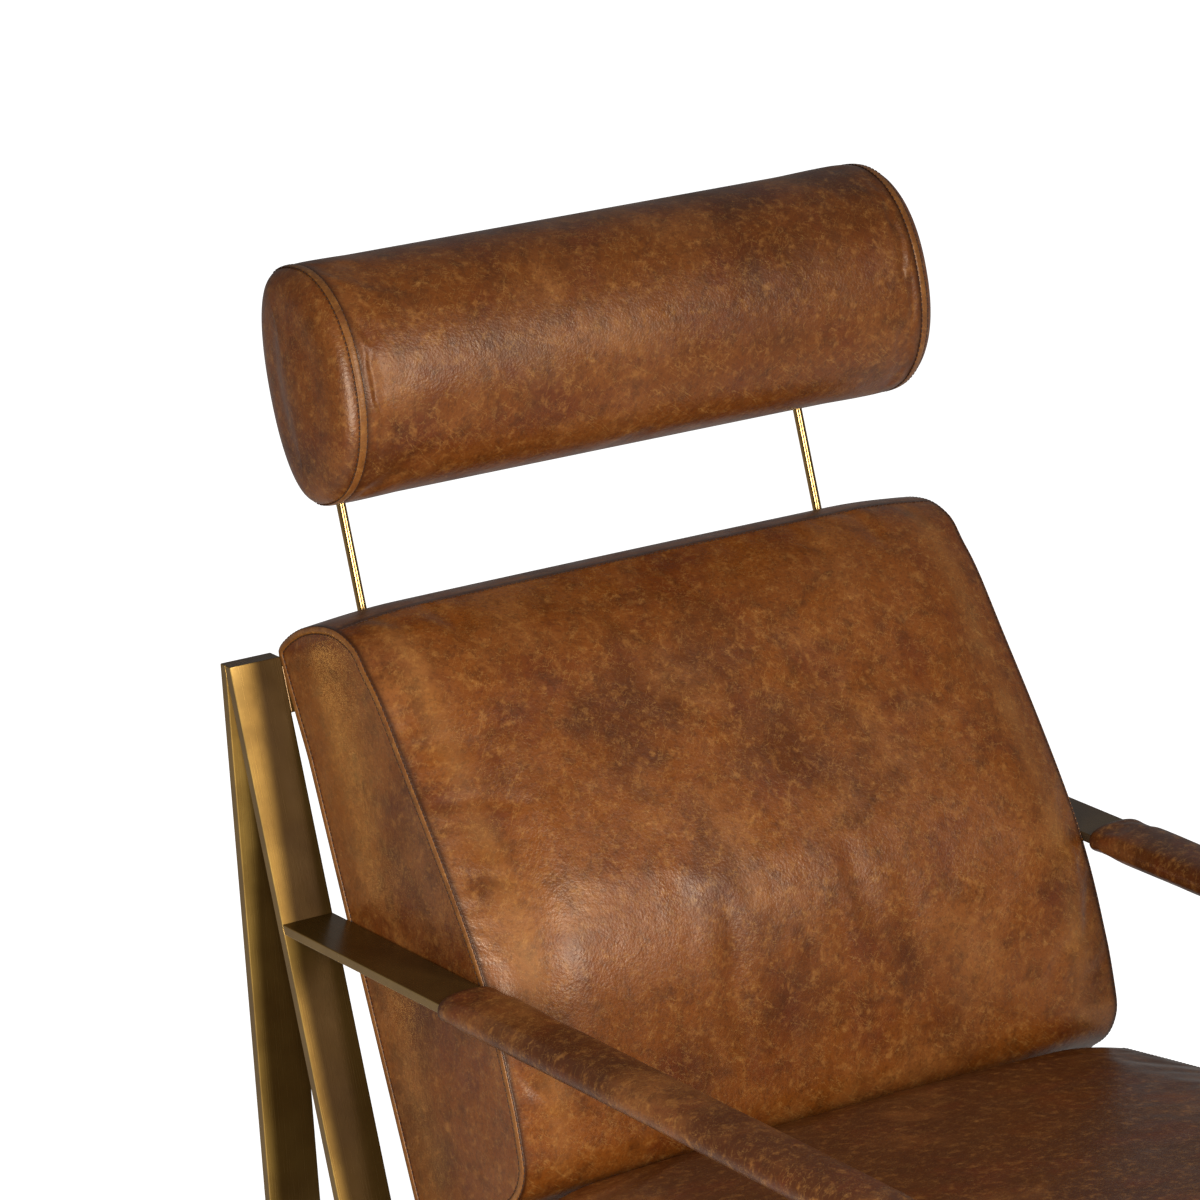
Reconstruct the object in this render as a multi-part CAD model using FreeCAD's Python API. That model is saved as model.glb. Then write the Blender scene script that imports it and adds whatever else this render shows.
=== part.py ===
"""Leather armchair on a flat-bar side frame, with a bolster headrest on two rods.

Millimetres, +X to the right seen from the front, -Y to the front, +Z up.
The side view is drawn in (forward, height): forward runs to -Y from the frame's apex.
"""
import FreeCAD, Part
import math
import os

from FreeCAD import Vector

# Flat bar of the frame
BAR_WIDTH = 50.0
BAR_THICK = 8.0
INNER_HALF = 313.0          # chair centre to the inner edge of the side frames

# Side frame, seen from the side
APEX_HEIGHT = 739.0
APEX_DEPTH = 14.4           # flat on top of the joined upright and rear leg
UPRIGHT_LEAN = 19.74        # degrees back from plumb
REAR_LEG_LEAN = 6.73        # degrees, foot in front of the apex
ARM_TOP = 536.5
GLIDE_HEIGHT = 5.0
GLIDE_INSET = 2.0

# Seat
CREASE_GAP = 1.0            # seat cushion to the back's foremost low point
SEAT_TILT = 6.6             # degrees, front edge up
SEAT_BASE = 236.0           # top of the deck below the crease
SEAT_THICK = 122.0          # cushion at its sewn edge
SEAT_LENGTH = 520.0
SEAT_FRONT_GAP = 13.0       # end of the seat to the rear face of the front leg
SEAT_CROWN = 20.0
SEAT_REAR_FALL = 0.15       # share of the crown lost at the crease
SEAT_FRONT_BULGE = 5.0
SEAT_NOSE = 36.0            # rounding at the cushion's front top edge
DECK_THICK = 15.0
DECK_BEHIND_CREASE = 110.0
SEAT_CORE_MARGIN = 24.0
CUSHION_SIDE_GAP = 1.5      # cushion side to the inner edge of the side frame
REAR_RAIL_INSET = 50.0      # deck's rear end to the middle of the rear seat rail
FRONT_RAIL_INSET = 50.0     # seat's front to the middle of the front seat rail
SEAT_RAIL_COUNT = 3

# Back cushion outline: distance in front of the upright, and height over the apex or the seat base
TOP_REAR_STANDOFF = 1.8
TOP_REAR_RISE = 5.0
TOP_FRONT_STANDOFF = 92.4
TOP_FRONT_RISE = 43.0
NOSE_STANDOFF = 134.1
NOSE_RISE = 17.0
SHOULDER_STANDOFF = 148.1
SHOULDER_DROP = 22.0
KNEE_STANDOFF = 216.0
KNEE_OVER_SEAT = 305.0
LOW_FRONT_STANDOFF = 218.1
LOW_FRONT_OVER_SEAT = 159.0
TOE_STANDOFF = 172.4
TOE_OVER_SEAT = 114.0
LOW_REAR_STANDOFF = 39.3
LOW_REAR_OVER_SEAT = 19.0
BACK_TOP_BULGE = 9.0
BACK_SHOULDER_BULGE = 3.0
BACK_KNEE_BULGE = 5.0
BACK_TOE_BULGE = 9.0
BACK_CROWN = 22.0           # front face, middle of the width
BACK_TOP_CROWN = 14.0
BACK_REAR_WALL = 4.0        # leather and wadding behind the board
BOARD_THICK = 25.0
BOARD_BELOW_TOP = 16.0
BOARD_ABOVE_TOE = 22.0
BACK_CORE_THICK = 62.0
BACK_CORE_BELOW_TOP = 70.0
BACK_CORE_ABOVE_TOE = 40.0
BACK_SIDE_MARGIN = 26.0
BACK_RAIL_WIDTH = 40.0      # bars between the two uprights
BACK_RAIL_DROP = 7.0        # top rail below the apex, along the upright
LOW_RAIL_OVER_SEAT = 44.0   # middle of the low rail over the seat base
BRACKET_WIDTH = 60.0
BRACKET_HEIGHT = 30.0
BRACKET_INSET = 131.5       # cushion side to the middle of the bracket

# Headrest
ROD_DIA = 8.0
ROD_INSET = 72.5            # cushion side to the rod
ROD_LEAN = 19.5             # degrees back from plumb
ROD_SETBACK = 3.0           # the rod's datum behind the apex
ROD_OVER_APEX = 71.0
ROD_DEPTH = 122.0           # rod below the datum, along its length
ROD_RISE = 150.0            # rod above the datum, up to the turn
ROD_TURN = 12.0             # bend radius on the rod's centre line
SLEEVE_WALL = 2.0
SLEEVE_TOP = 52.0           # top of the sleeve below the datum
SLEEVE_LENGTH = 98.0
COLLAR_RADIUS = 9.0
COLLAR_HEIGHT = 3.0
RUN_CLEARANCE = 0.05
BOLSTER_FORWARD = 24.0      # the bolster's axis in front of the apex
BOLSTER_OVER_APEX = 226.0
BOLSTER_LEAN = 16.0
BOLSTER_HALF_TALL = 105.0
BOLSTER_HALF_FRONT = 68.0
BOLSTER_HALF_BACK = 62.0
BOLSTER_TIP_RADIUS = 45.0
BOLSTER_HALF_LENGTH = 286.0
BOLSTER_WALL = 7.0
CAP_RISE = 20.0
CAP_SHOULDER_RISE = 14.0
CAP_SHOULDER_INSET = 5.0
CAP_CROWN_INSET = 26.0
HEAD_BOARD_THICK = 12.0
HEAD_BOARD_TALL = 96.0
HEAD_BOARD_END_GAP = 31.0   # end of the board to the end of the bolster's tube
HEAD_BOARD_COVER = 16.0     # bolster back to the board's rear face
FLANGE_RADIUS = 12.0
FLANGE_THICK = 3.0

# Arm pads
PAD_START = 302.0
PAD_FRONT_GAP = 16.0        # end of the pad to the rear face of the front leg
PAD_HALF_WIDE = 30.0
PAD_HALF_TALL = 13.5
PAD_TIP_RADIUS = 10.0
PAD_LEATHER = 1.6

# Fixings
BOLT_DIA = 6.0
BOLT_HEAD_DIA = 12.0
BOLT_HEAD_HEIGHT = 4.0
BOLT_INSET = 91.5           # cushion side to the bolts
BOLT_GRIP = 10.0            # thread in the wood

SEAT_CLEARANCE = 0.3        # soft or fitted faces

OUTER_HALF = INNER_HALF + BAR_WIDTH
CUSHION_HALF = INNER_HALF - CUSHION_SIDE_GAP
BAR_MIDDLE = INNER_HALF + BAR_WIDTH / 2
BRACKET_PLACE = CUSHION_HALF - BRACKET_INSET
ROD_PLACE = CUSHION_HALF - ROD_INSET
BOLT_PLACE = CUSHION_HALF - BOLT_INSET
HEAD_BOARD_HALF = BOLSTER_HALF_LENGTH - HEAD_BOARD_END_GAP

nodes = {}


def tangent(degrees):
    """Run per unit of height for a lean in degrees."""
    return math.tan(math.radians(degrees))


def side_point(x, place):
    """Point at x and a (forward, height) place of the side view."""
    return Vector(x, -place[0], place[1])


def prism(places, x_start, x_end):
    """Solid between two x values with a polygon side outline."""
    points = [side_point(x_start, place) for place in places]
    face = Part.Face(Part.makePolygon(points + points[:1]))
    return face.extrude(Vector(x_end - x_start, 0, 0))


def both_sides(name, solid):
    """Store a left-hand solid and its mirror image."""
    nodes[name + "_left"] = solid
    nodes[name + "_right"] = solid.mirror(Vector(0, 0, 0), Vector(1, 0, 0))


def mirrored_pair(solid):
    """A left-hand solid and its mirror image."""
    return (solid, solid.mirror(Vector(0, 0, 0), Vector(1, 0, 0)))


def local_frame(origin, degrees):
    """Map (along, off) to (forward, height); along rises from the forward axis by the angle."""
    cos_a = math.cos(math.radians(degrees))
    sin_a = math.sin(math.radians(degrees))

    def place(along, off):
        return (origin[0] + along * cos_a - off * sin_a, origin[1] + along * sin_a + off * cos_a)

    return place


def meet(point_a, lean_a, point_b, lean_b):
    """Where two leaning side-view lines cross; leans are forward run per unit of drop."""
    drop = (point_b[0] - point_a[0] + lean_b * (point_b[1] - point_a[1])) / (lean_a - lean_b)
    return (point_a[0] + lean_a * drop, point_a[1] - drop)


def on_line(point, lean, height):
    """Place on a leaning line at a height."""
    return (point[0] + lean * (point[1] - height), height)


def meet_deck(point, lean, off):
    """Where a leaning line crosses the line parallel to the deck at a distance from it."""
    base = deck(0.0, off)
    slope = tangent(SEAT_TILT)
    drop = (point[1] - base[1] - slope * (point[0] - base[0])) / (1.0 + slope * lean)
    return (point[0] + lean * drop, point[1] - drop)


def cylinder_between(start, end, radius):
    """Round bar from one point to another."""
    return Part.makeCylinder(radius, (end - start).Length, start, end - start)


def arc_edge(start, end, bulge, x):
    """Side-view arc that stands off its chord by bulge, to the left of its direction."""
    run = (end[0] - start[0], end[1] - start[1])
    length = math.hypot(run[0], run[1])
    middle = (
        (start[0] + end[0]) / 2 - run[1] / length * bulge,
        (start[1] + end[1]) / 2 + run[0] / length * bulge,
    )
    points = [side_point(x, place) for place in (start, middle, end)]
    return Part.Arc(*points).toShape()


def line_edge(start, end, x):
    """Straight side-view edge."""
    return Part.makeLine(side_point(x, start), side_point(x, end))


def oval_wire(place, half_tall, half_front, half_back, tip, x):
    """Four-arc oval at x: tips of one radius, a front and a back arc tangent to them."""

    def side_radius(half):
        reach = half_tall - tip
        return (reach ** 2 + half ** 2 - tip ** 2) / (2.0 * (half - tip))

    def tangent_off(half):
        radius = side_radius(half)
        back_off = half - radius
        scale = tip / (radius - tip)
        return (half_tall - tip) * (1.0 + scale), -back_off * scale

    front_along, front_off = tangent_off(half_front)
    back_along, back_off = tangent_off(half_back)
    stations = [
        (front_along, front_off, 0.0, half_front, -front_along, front_off),
        (-front_along, front_off, -half_tall, 0.0, -back_along, -back_off),
        (-back_along, -back_off, 0.0, -half_back, back_along, -back_off),
        (back_along, -back_off, half_tall, 0.0, front_along, front_off),
    ]
    edges = []
    for first_a, first_o, mid_a, mid_o, last_a, last_o in stations:
        marks = [place(first_a, -first_o), place(mid_a, -mid_o), place(last_a, -last_o)]
        edges.append(Part.Arc(*[side_point(x, mark) for mark in marks]).toShape())
    return Part.Wire(edges)


def oval_bar(place, sizes, x_start, x_end):
    """Solid oval bar along x; sizes are half tall, half front, half back and tip radius."""
    face = Part.Face(oval_wire(place, *sizes, x_start))
    return face.extrude(Vector(x_end - x_start, 0, 0))


# Reference lines of the side view
UPRIGHT_RUN = tangent(UPRIGHT_LEAN)
LEG_RUN = tangent(REAR_LEG_LEAN)
ARM_UNDER = ARM_TOP - BAR_THICK
UPRIGHT_FRONT = (0.0, APEX_HEIGHT)
UPRIGHT_REAR = (-BAR_THICK / math.cos(math.radians(UPRIGHT_LEAN)), APEX_HEIGHT)
LEG_REAR = (-APEX_DEPTH, APEX_HEIGHT)
LEG_FRONT = (-APEX_DEPTH + BAR_THICK / math.cos(math.radians(REAR_LEG_LEAN)), APEX_HEIGHT)


def off_upright(standoff, height):
    """Place at a height and a level distance in front of the upright's front face."""
    return (on_line(UPRIGHT_FRONT, UPRIGHT_RUN, height)[0] + standoff, height)


# Corners of the back cushion's outline at its sewn edges
BACK_TOP_REAR = off_upright(TOP_REAR_STANDOFF, APEX_HEIGHT + TOP_REAR_RISE)
BACK_TOP_FRONT = off_upright(TOP_FRONT_STANDOFF, APEX_HEIGHT + TOP_FRONT_RISE)
BACK_NOSE = off_upright(NOSE_STANDOFF, APEX_HEIGHT + NOSE_RISE)
BACK_SHOULDER = off_upright(SHOULDER_STANDOFF, APEX_HEIGHT - SHOULDER_DROP)
BACK_KNEE = off_upright(KNEE_STANDOFF, SEAT_BASE + KNEE_OVER_SEAT)
BACK_LOW_FRONT = off_upright(LOW_FRONT_STANDOFF, SEAT_BASE + LOW_FRONT_OVER_SEAT)
BACK_TOE = off_upright(TOE_STANDOFF, SEAT_BASE + TOE_OVER_SEAT)
BACK_LOW_REAR = off_upright(LOW_REAR_STANDOFF, SEAT_BASE + LOW_REAR_OVER_SEAT)
BACK_RUN = (BACK_LOW_REAR[0] - BACK_TOP_REAR[0]) / (BACK_TOP_REAR[1] - BACK_LOW_REAR[1])
BACK_LEAN = math.degrees(math.atan(BACK_RUN))
BACK_LENGTH = math.dist(BACK_LOW_REAR, BACK_TOP_REAR)

# Front of the frame, the headrest board's faces behind the bolster's axis, and the rails
CREASE_FORWARD = BACK_LOW_FRONT[0] + CREASE_GAP
FRONT_LEG_REAR = CREASE_FORWARD + SEAT_LENGTH * math.cos(math.radians(SEAT_TILT)) + SEAT_FRONT_GAP
FRONT_REACH = FRONT_LEG_REAR + BAR_THICK
PAD_END = FRONT_LEG_REAR - PAD_FRONT_GAP
HEAD_BOARD_REAR = BOLSTER_HALF_BACK - HEAD_BOARD_COVER
HEAD_BOARD_FRONT = HEAD_BOARD_REAR - HEAD_BOARD_THICK
BOLSTER_CENTRE = (BOLSTER_FORWARD, APEX_HEIGHT + BOLSTER_OVER_APEX)
ROD_DATUM = (-ROD_SETBACK, APEX_HEIGHT + ROD_OVER_APEX)
REAR_RAIL_PLACE = REAR_RAIL_INSET - DECK_BEHIND_CREASE
SEAT_RAIL_STEP = (SEAT_LENGTH - FRONT_RAIL_INSET - REAR_RAIL_PLACE) / (SEAT_RAIL_COUNT - 1)
SEAT_RAIL_PLACES = [REAR_RAIL_PLACE + number * SEAT_RAIL_STEP for number in range(SEAT_RAIL_COUNT)]
LOW_RAIL_REACH = (APEX_HEIGHT - SEAT_BASE - LOW_RAIL_OVER_SEAT) / math.cos(math.radians(UPRIGHT_LEAN))
LOW_RAIL_DROP = LOW_RAIL_REACH - BACK_RAIL_WIDTH / 2

# Measuring frames of the side view
deck = local_frame((CREASE_FORWARD, SEAT_BASE), SEAT_TILT)
upright_line = local_frame(UPRIGHT_FRONT, -90.0 + UPRIGHT_LEAN)
rod_line = local_frame(ROD_DATUM, 90.0 + ROD_LEAN)
bolster = local_frame(BOLSTER_CENTRE, 90.0 + BOLSTER_LEAN)
back_line = local_frame(BACK_LOW_REAR, 90.0 + BACK_LEAN)


def back_place(up, forward):
    """Place measured up along the back's rear face and forward of it."""
    return back_line(up, -forward)


def make_side_frames():
    """Rear legs, uprights, arms, front legs and side rails, each a flat bar."""
    notch = meet(LEG_FRONT, LEG_RUN, UPRIGHT_REAR, UPRIGHT_RUN)
    weld_top = ((LEG_FRONT[0] + UPRIGHT_REAR[0]) / 2, APEX_HEIGHT)
    rail_top = -DECK_THICK
    rail_under = rail_top - BAR_THICK
    rear_leg = [
        LEG_REAR,
        weld_top,
        notch,
        on_line(LEG_FRONT, LEG_RUN, GLIDE_HEIGHT),
        on_line(LEG_REAR, LEG_RUN, GLIDE_HEIGHT),
    ]
    upright = [
        weld_top,
        UPRIGHT_FRONT,
        meet_deck(UPRIGHT_FRONT, UPRIGHT_RUN, rail_top),
        meet_deck(UPRIGHT_REAR, UPRIGHT_RUN, rail_top),
        notch,
    ]
    arm = [
        on_line(UPRIGHT_FRONT, UPRIGHT_RUN, ARM_TOP),
        (FRONT_LEG_REAR, ARM_TOP),
        (FRONT_LEG_REAR, ARM_UNDER),
        on_line(UPRIGHT_FRONT, UPRIGHT_RUN, ARM_UNDER),
    ]
    rail = [
        meet_deck(LEG_FRONT, LEG_RUN, rail_top),
        meet_deck((FRONT_LEG_REAR, 0.0), 0.0, rail_top),
        meet_deck((FRONT_LEG_REAR, 0.0), 0.0, rail_under),
        meet_deck(LEG_FRONT, LEG_RUN, rail_under),
    ]
    outlines = {"rear_leg": rear_leg, "back_upright": upright, "arm_bar": arm, "seat_side_rail": rail}
    for name, outline in outlines.items():
        both_sides(name, prism(outline, -OUTER_HALF, -INNER_HALF))
    both_sides("front_leg", make_front_leg())
    feet = {"rear": on_line(LEG_REAR, LEG_RUN, GLIDE_HEIGHT)[0], "front": FRONT_LEG_REAR}
    for name, forward in feet.items():
        both_sides("glide_" + name, make_glide(forward))


def make_front_leg():
    """Upright bar whose top turns back into the arm over an outer quarter round."""
    turn = BAR_THICK / math.sqrt(2.0)
    corners = [
        (FRONT_LEG_REAR, ARM_TOP),
        (FRONT_LEG_REAR, GLIDE_HEIGHT),
        (FRONT_REACH, GLIDE_HEIGHT),
        (FRONT_REACH, ARM_UNDER),
    ]
    points = [side_point(-OUTER_HALF, corner) for corner in corners]
    middle = side_point(-OUTER_HALF, (FRONT_LEG_REAR + turn, ARM_UNDER + turn))
    edges = [Part.makeLine(start, end) for start, end in zip(points, points[1:])]
    edges.append(Part.Arc(points[3], middle, points[0]).toShape())
    return Part.Face(Part.Wire(edges)).extrude(Vector(BAR_WIDTH, 0, 0))


def make_glide(forward):
    """Flat nylon glide under a leg."""
    front = forward + BAR_THICK
    glide = [(forward, 0.0), (front, 0.0), (front, GLIDE_HEIGHT), (forward, GLIDE_HEIGHT)]
    return prism(glide, -OUTER_HALF + GLIDE_INSET, -INNER_HALF - GLIDE_INSET)


def make_cross_rails():
    """Bars between the side frames: under the deck and behind the back."""
    for number, place in enumerate(SEAT_RAIL_PLACES, start=1):
        half = BAR_WIDTH / 2
        outline = [
            deck(place - half, -DECK_THICK),
            deck(place + half, -DECK_THICK),
            deck(place + half, -DECK_THICK - BAR_THICK),
            deck(place - half, -DECK_THICK - BAR_THICK),
        ]
        nodes[f"seat_cross_rail_{number}"] = prism(outline, -INNER_HALF, INNER_HALF)
    for name, drop in {"back_top_rail": BACK_RAIL_DROP, "back_low_rail": LOW_RAIL_DROP}.items():
        outline = [
            upright_line(drop, 0.0),
            upright_line(drop + BACK_RAIL_WIDTH, 0.0),
            upright_line(drop + BACK_RAIL_WIDTH, -BAR_THICK),
            upright_line(drop, -BAR_THICK),
        ]
        nodes[name] = prism(outline, -INNER_HALF, INNER_HALF)


def seat_section(x, crown):
    """Side outline of the seat cushion at x, raised and pushed out by a share of the crown."""
    thick = SEAT_THICK + SEAT_CROWN * crown
    front = SEAT_LENGTH + SEAT_FRONT_BULGE * crown
    low_rear = deck(0.0, SEAT_CLEARANCE)
    low_front = deck(front - SEAT_FRONT_BULGE, SEAT_CLEARANCE)
    high_front = deck(front, thick - SEAT_NOSE)
    nose = deck(front - SEAT_NOSE, thick)
    rear_rise = thick - SEAT_CROWN * crown * SEAT_REAR_FALL
    high_rear = deck(rear_rise * tangent(SEAT_TILT), rear_rise)
    edges = [
        line_edge(low_rear, low_front, x),
        arc_edge(low_front, high_front, -SEAT_FRONT_BULGE / 2, x),
        arc_edge(high_front, nose, -SEAT_NOSE * (1.0 - math.sqrt(0.5)) / math.sqrt(2.0), x),
        arc_edge(nose, high_rear, -SEAT_CROWN * (1.0 + crown) / 8, x),
        line_edge(high_rear, low_rear, x),
    ]
    return Part.Wire(edges)


def back_section(x, crown):
    """Side outline of the back cushion at x, swollen by a share of the crown."""

    def swell(place, share):
        return (place[0] + BACK_CROWN * crown * share * math.cos(math.radians(BACK_LEAN)),
                place[1] + BACK_CROWN * crown * share * math.sin(math.radians(BACK_LEAN)))

    top_front = (BACK_TOP_FRONT[0], BACK_TOP_FRONT[1] + BACK_TOP_CROWN * crown)
    nose = swell(BACK_NOSE, 0.6)
    shoulder = swell(BACK_SHOULDER, 0.8)
    knee = swell(BACK_KNEE, 1.0)
    low_front = BACK_LOW_FRONT
    nose_arc = Part.Arc(*[side_point(x, place) for place in (top_front, nose, shoulder)]).toShape()
    edges = [
        arc_edge(BACK_TOP_REAR, top_front, BACK_TOP_BULGE, x),
        nose_arc,
        arc_edge(shoulder, knee, BACK_SHOULDER_BULGE, x),
        arc_edge(knee, low_front, BACK_KNEE_BULGE, x),
        arc_edge(low_front, BACK_TOE, BACK_TOE_BULGE, x),
        line_edge(BACK_TOE, BACK_LOW_REAR, x),
        line_edge(BACK_LOW_REAR, BACK_TOP_REAR, x),
    ]
    return Part.Wire(edges)


def crowned(section):
    """Cushion solid: one outline at several places across the width, fullest in the middle."""
    shares = ((-1.0, 0.0), (-0.62, 0.72), (0.0, 1.0), (0.62, 0.72), (1.0, 0.0))
    wires = [section(share * CUSHION_HALF, crown) for share, crown in shares]
    return Part.makeLoft(wires, True, False)


def make_seat():
    """Deck, foam core and leather-covered cushion."""
    front = SEAT_LENGTH - SEAT_CORE_MARGIN
    deck_outline = [
        deck(-DECK_BEHIND_CREASE, 0.0),
        deck(SEAT_LENGTH - SEAT_FRONT_BULGE, 0.0),
        deck(SEAT_LENGTH - SEAT_FRONT_BULGE, -DECK_THICK),
        deck(-DECK_BEHIND_CREASE, -DECK_THICK),
    ]
    nodes["seat_deck"] = prism(deck_outline, -CUSHION_HALF, CUSHION_HALF)
    half = CUSHION_HALF - SEAT_CORE_MARGIN
    high = SEAT_THICK - SEAT_CORE_MARGIN

    def core(room):
        outline = [
            deck(SEAT_CORE_MARGIN - room, SEAT_CORE_MARGIN - room),
            deck(front - SEAT_NOSE / 2 + room, SEAT_CORE_MARGIN - room),
            deck(front - SEAT_NOSE / 2 + room, high + room),
            deck(SEAT_CORE_MARGIN - room, high + room),
        ]
        return prism(outline, -half - room, half + room)

    nodes["seat_foam_core"] = core(0.0)
    nodes["seat_cushion_cover"] = crowned(seat_section).cut(core(SEAT_CLEARANCE))


def make_back():
    """Board, foam core and leather-covered cushion, bored for the rod sleeves."""
    half = CUSHION_HALF - BACK_SIDE_MARGIN
    board_top = BACK_LENGTH - BOARD_BELOW_TOP
    core_top = BACK_LENGTH - BACK_CORE_BELOW_TOP
    board_front = BACK_REAR_WALL + BOARD_THICK

    def slab(low, high, rear, front, room):
        outline = [
            back_place(low - room, rear - room),
            back_place(high + room, rear - room),
            back_place(high + room, front + room),
            back_place(low - room, front + room),
        ]
        return prism(outline, -half - room, half + room)

    board = slab(BOARD_ABOVE_TOE, board_top, BACK_REAR_WALL, board_front, 0.0)
    board_space = slab(BOARD_ABOVE_TOE, board_top, BACK_REAR_WALL, board_front, SEAT_CLEARANCE)
    core_front = board_front + BACK_CORE_THICK
    core = slab(BACK_CORE_ABOVE_TOE, core_top, board_front + SEAT_CLEARANCE, core_front, 0.0)
    core_space = slab(BACK_CORE_ABOVE_TOE, core_top, board_front, core_front, SEAT_CLEARANCE)
    cover = crowned(back_section).cut(board_space).cut(core_space)
    bore = ROD_DIA / 2 + SLEEVE_WALL
    sleeve_end = SLEEVE_TOP + SLEEVE_LENGTH
    for hole in mirrored_pair(rod_cylinder(-SLEEVE_TOP + COLLAR_HEIGHT, -sleeve_end, bore)):
        board = board.cut(hole)
    for hole in mirrored_pair(rod_cylinder(ROD_RISE, -sleeve_end, bore + SEAT_CLEARANCE)):
        cover = cover.cut(hole)
    for hole in mirrored_pair(rod_cylinder(ROD_RISE, -SLEEVE_TOP, COLLAR_RADIUS + SEAT_CLEARANCE)):
        cover = cover.cut(hole)
    nodes["back_board"] = board
    nodes["back_foam_core"] = core
    nodes["back_cushion_cover"] = cover
    sleeve = rod_cylinder(-SLEEVE_TOP, -sleeve_end, bore)
    collar = rod_cylinder(-SLEEVE_TOP + COLLAR_HEIGHT, -SLEEVE_TOP, COLLAR_RADIUS)
    run = rod_cylinder(ROD_RISE, -sleeve_end - COLLAR_HEIGHT, ROD_DIA / 2 + RUN_CLEARANCE)
    both_sides("rod_sleeve", sleeve.fuse(collar).removeSplitter().cut(run))


def rod_cylinder(start, end, radius):
    """Left-hand round bar along the rod's line, between two distances from its datum."""
    first = side_point(-ROD_PLACE, rod_line(start, 0.0))
    last = side_point(-ROD_PLACE, rod_line(end, 0.0))
    return cylinder_between(first, last, radius)


def make_back_brackets():
    """Blocks that carry the back's lower edge on the low rail."""
    rail_middle = LOW_RAIL_DROP + BACK_RAIL_WIDTH / 2
    half = BRACKET_HEIGHT / 2
    rear_low = upright_line(rail_middle + half, 0.0)
    rear_high = upright_line(rail_middle - half, 0.0)
    normal = (math.cos(math.radians(UPRIGHT_LEAN)), math.sin(math.radians(UPRIGHT_LEAN)))

    def reach(place):
        gap = on_line(BACK_LOW_REAR, BACK_RUN, place[1])[0] - place[0]
        length = (gap - SEAT_CLEARANCE) / (normal[0] + BACK_RUN * normal[1])
        return (place[0] + normal[0] * length, place[1] + normal[1] * length)

    block = prism(
        [rear_low, rear_high, reach(rear_high), reach(rear_low)],
        -BRACKET_PLACE - BRACKET_WIDTH / 2,
        -BRACKET_PLACE + BRACKET_WIDTH / 2,
    )
    both_sides("back_bracket", block)


def make_headrest():
    """Bolster of cover, end caps, foam and board, carried by two bent rods."""
    outer = (BOLSTER_HALF_TALL, BOLSTER_HALF_FRONT, BOLSTER_HALF_BACK, BOLSTER_TIP_RADIUS)
    inner = tuple(size - BOLSTER_WALL for size in outer)
    foam_sizes = tuple(size - SEAT_CLEARANCE for size in inner)
    cover = oval_bar(bolster, outer, -BOLSTER_HALF_LENGTH, BOLSTER_HALF_LENGTH)
    space = oval_bar(bolster, inner, -BOLSTER_HALF_LENGTH, BOLSTER_HALF_LENGTH)
    foam_half = BOLSTER_HALF_LENGTH - SEAT_CLEARANCE
    foam = oval_bar(bolster, foam_sizes, -foam_half, foam_half)

    def board_block(room):
        high = HEAD_BOARD_TALL / 2 + room
        rear = HEAD_BOARD_REAR + room
        front = HEAD_BOARD_FRONT - room
        outline = [bolster(-high, rear), bolster(high, rear), bolster(high, front), bolster(-high, front)]
        return prism(outline, -HEAD_BOARD_HALF - room, HEAD_BOARD_HALF + room)

    board = board_block(0.0)
    rod = make_rod(ROD_DIA / 2)
    bore = make_rod(ROD_DIA / 2 + SEAT_CLEARANCE)
    foam = foam.cut(board_block(SEAT_CLEARANCE))
    cover = cover.cut(space)
    for hole in mirrored_pair(bore):
        foam = foam.cut(hole)
        cover = cover.cut(hole)
    for solid in mirrored_pair(rod):
        board = board.cut(solid)
    nodes["headrest_board"] = board
    nodes["headrest_foam"] = foam
    nodes["headrest_cover"] = cover
    both_sides("headrest_rod", rod)
    both_sides("headrest_cap", make_cap(outer))
    both_sides("rod_flange", make_flange())


def rod_turn_points():
    """Side-view places of the rod: foot, bend start, bend middle, bend end and a far point."""
    start = rod_line(ROD_RISE, 0.0)
    centre = rod_line(ROD_RISE, -ROD_TURN)
    end = rod_line(ROD_RISE + ROD_TURN, -ROD_TURN)
    across = (start[0] + end[0] - 2 * centre[0], start[1] + end[1] - 2 * centre[1])
    length = math.hypot(across[0], across[1])
    middle = (centre[0] + across[0] / length * ROD_TURN, centre[1] + across[1] / length * ROD_TURN)
    far = rod_line(ROD_RISE + ROD_TURN, -ROD_TURN - BOLSTER_HALF_FRONT)
    return rod_line(-ROD_DEPTH, 0.0), start, middle, end, far


def make_rod(radius):
    """Left-hand round bar along the bent rod, ending at the headrest board's front face."""
    foot, start, middle, end, far = [side_point(-ROD_PLACE, place) for place in rod_turn_points()]
    edges = [Part.makeLine(foot, start), Part.Arc(start, middle, end).toShape(), Part.makeLine(end, far)]
    circle = Part.Wire([Part.makeCircle(radius, foot, start - foot)])
    whole = Part.Wire(edges).makePipeShell([circle], True, True)
    high = BOLSTER_HALF_TALL
    beyond = HEAD_BOARD_FRONT - 2.0 * BOLSTER_HALF_FRONT
    front = [
        bolster(-high, HEAD_BOARD_FRONT),
        bolster(high, HEAD_BOARD_FRONT),
        bolster(high, beyond),
        bolster(-high, beyond),
    ]
    return whole.cut(prism(front, -HEAD_BOARD_HALF, HEAD_BOARD_HALF))


def make_cap(sizes):
    """Left-hand end cap: an oval that draws in towards a slightly domed end."""
    steps = ((0.0, 0.0), (CAP_SHOULDER_RISE, CAP_SHOULDER_INSET), (CAP_RISE, CAP_CROWN_INSET))
    wires = []
    for rise, inset in steps:
        drawn_in = tuple(size - inset for size in sizes)
        wires.append(oval_wire(bolster, *drawn_in, -BOLSTER_HALF_LENGTH - rise))
    return Part.makeLoft(wires, True, False)


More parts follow.
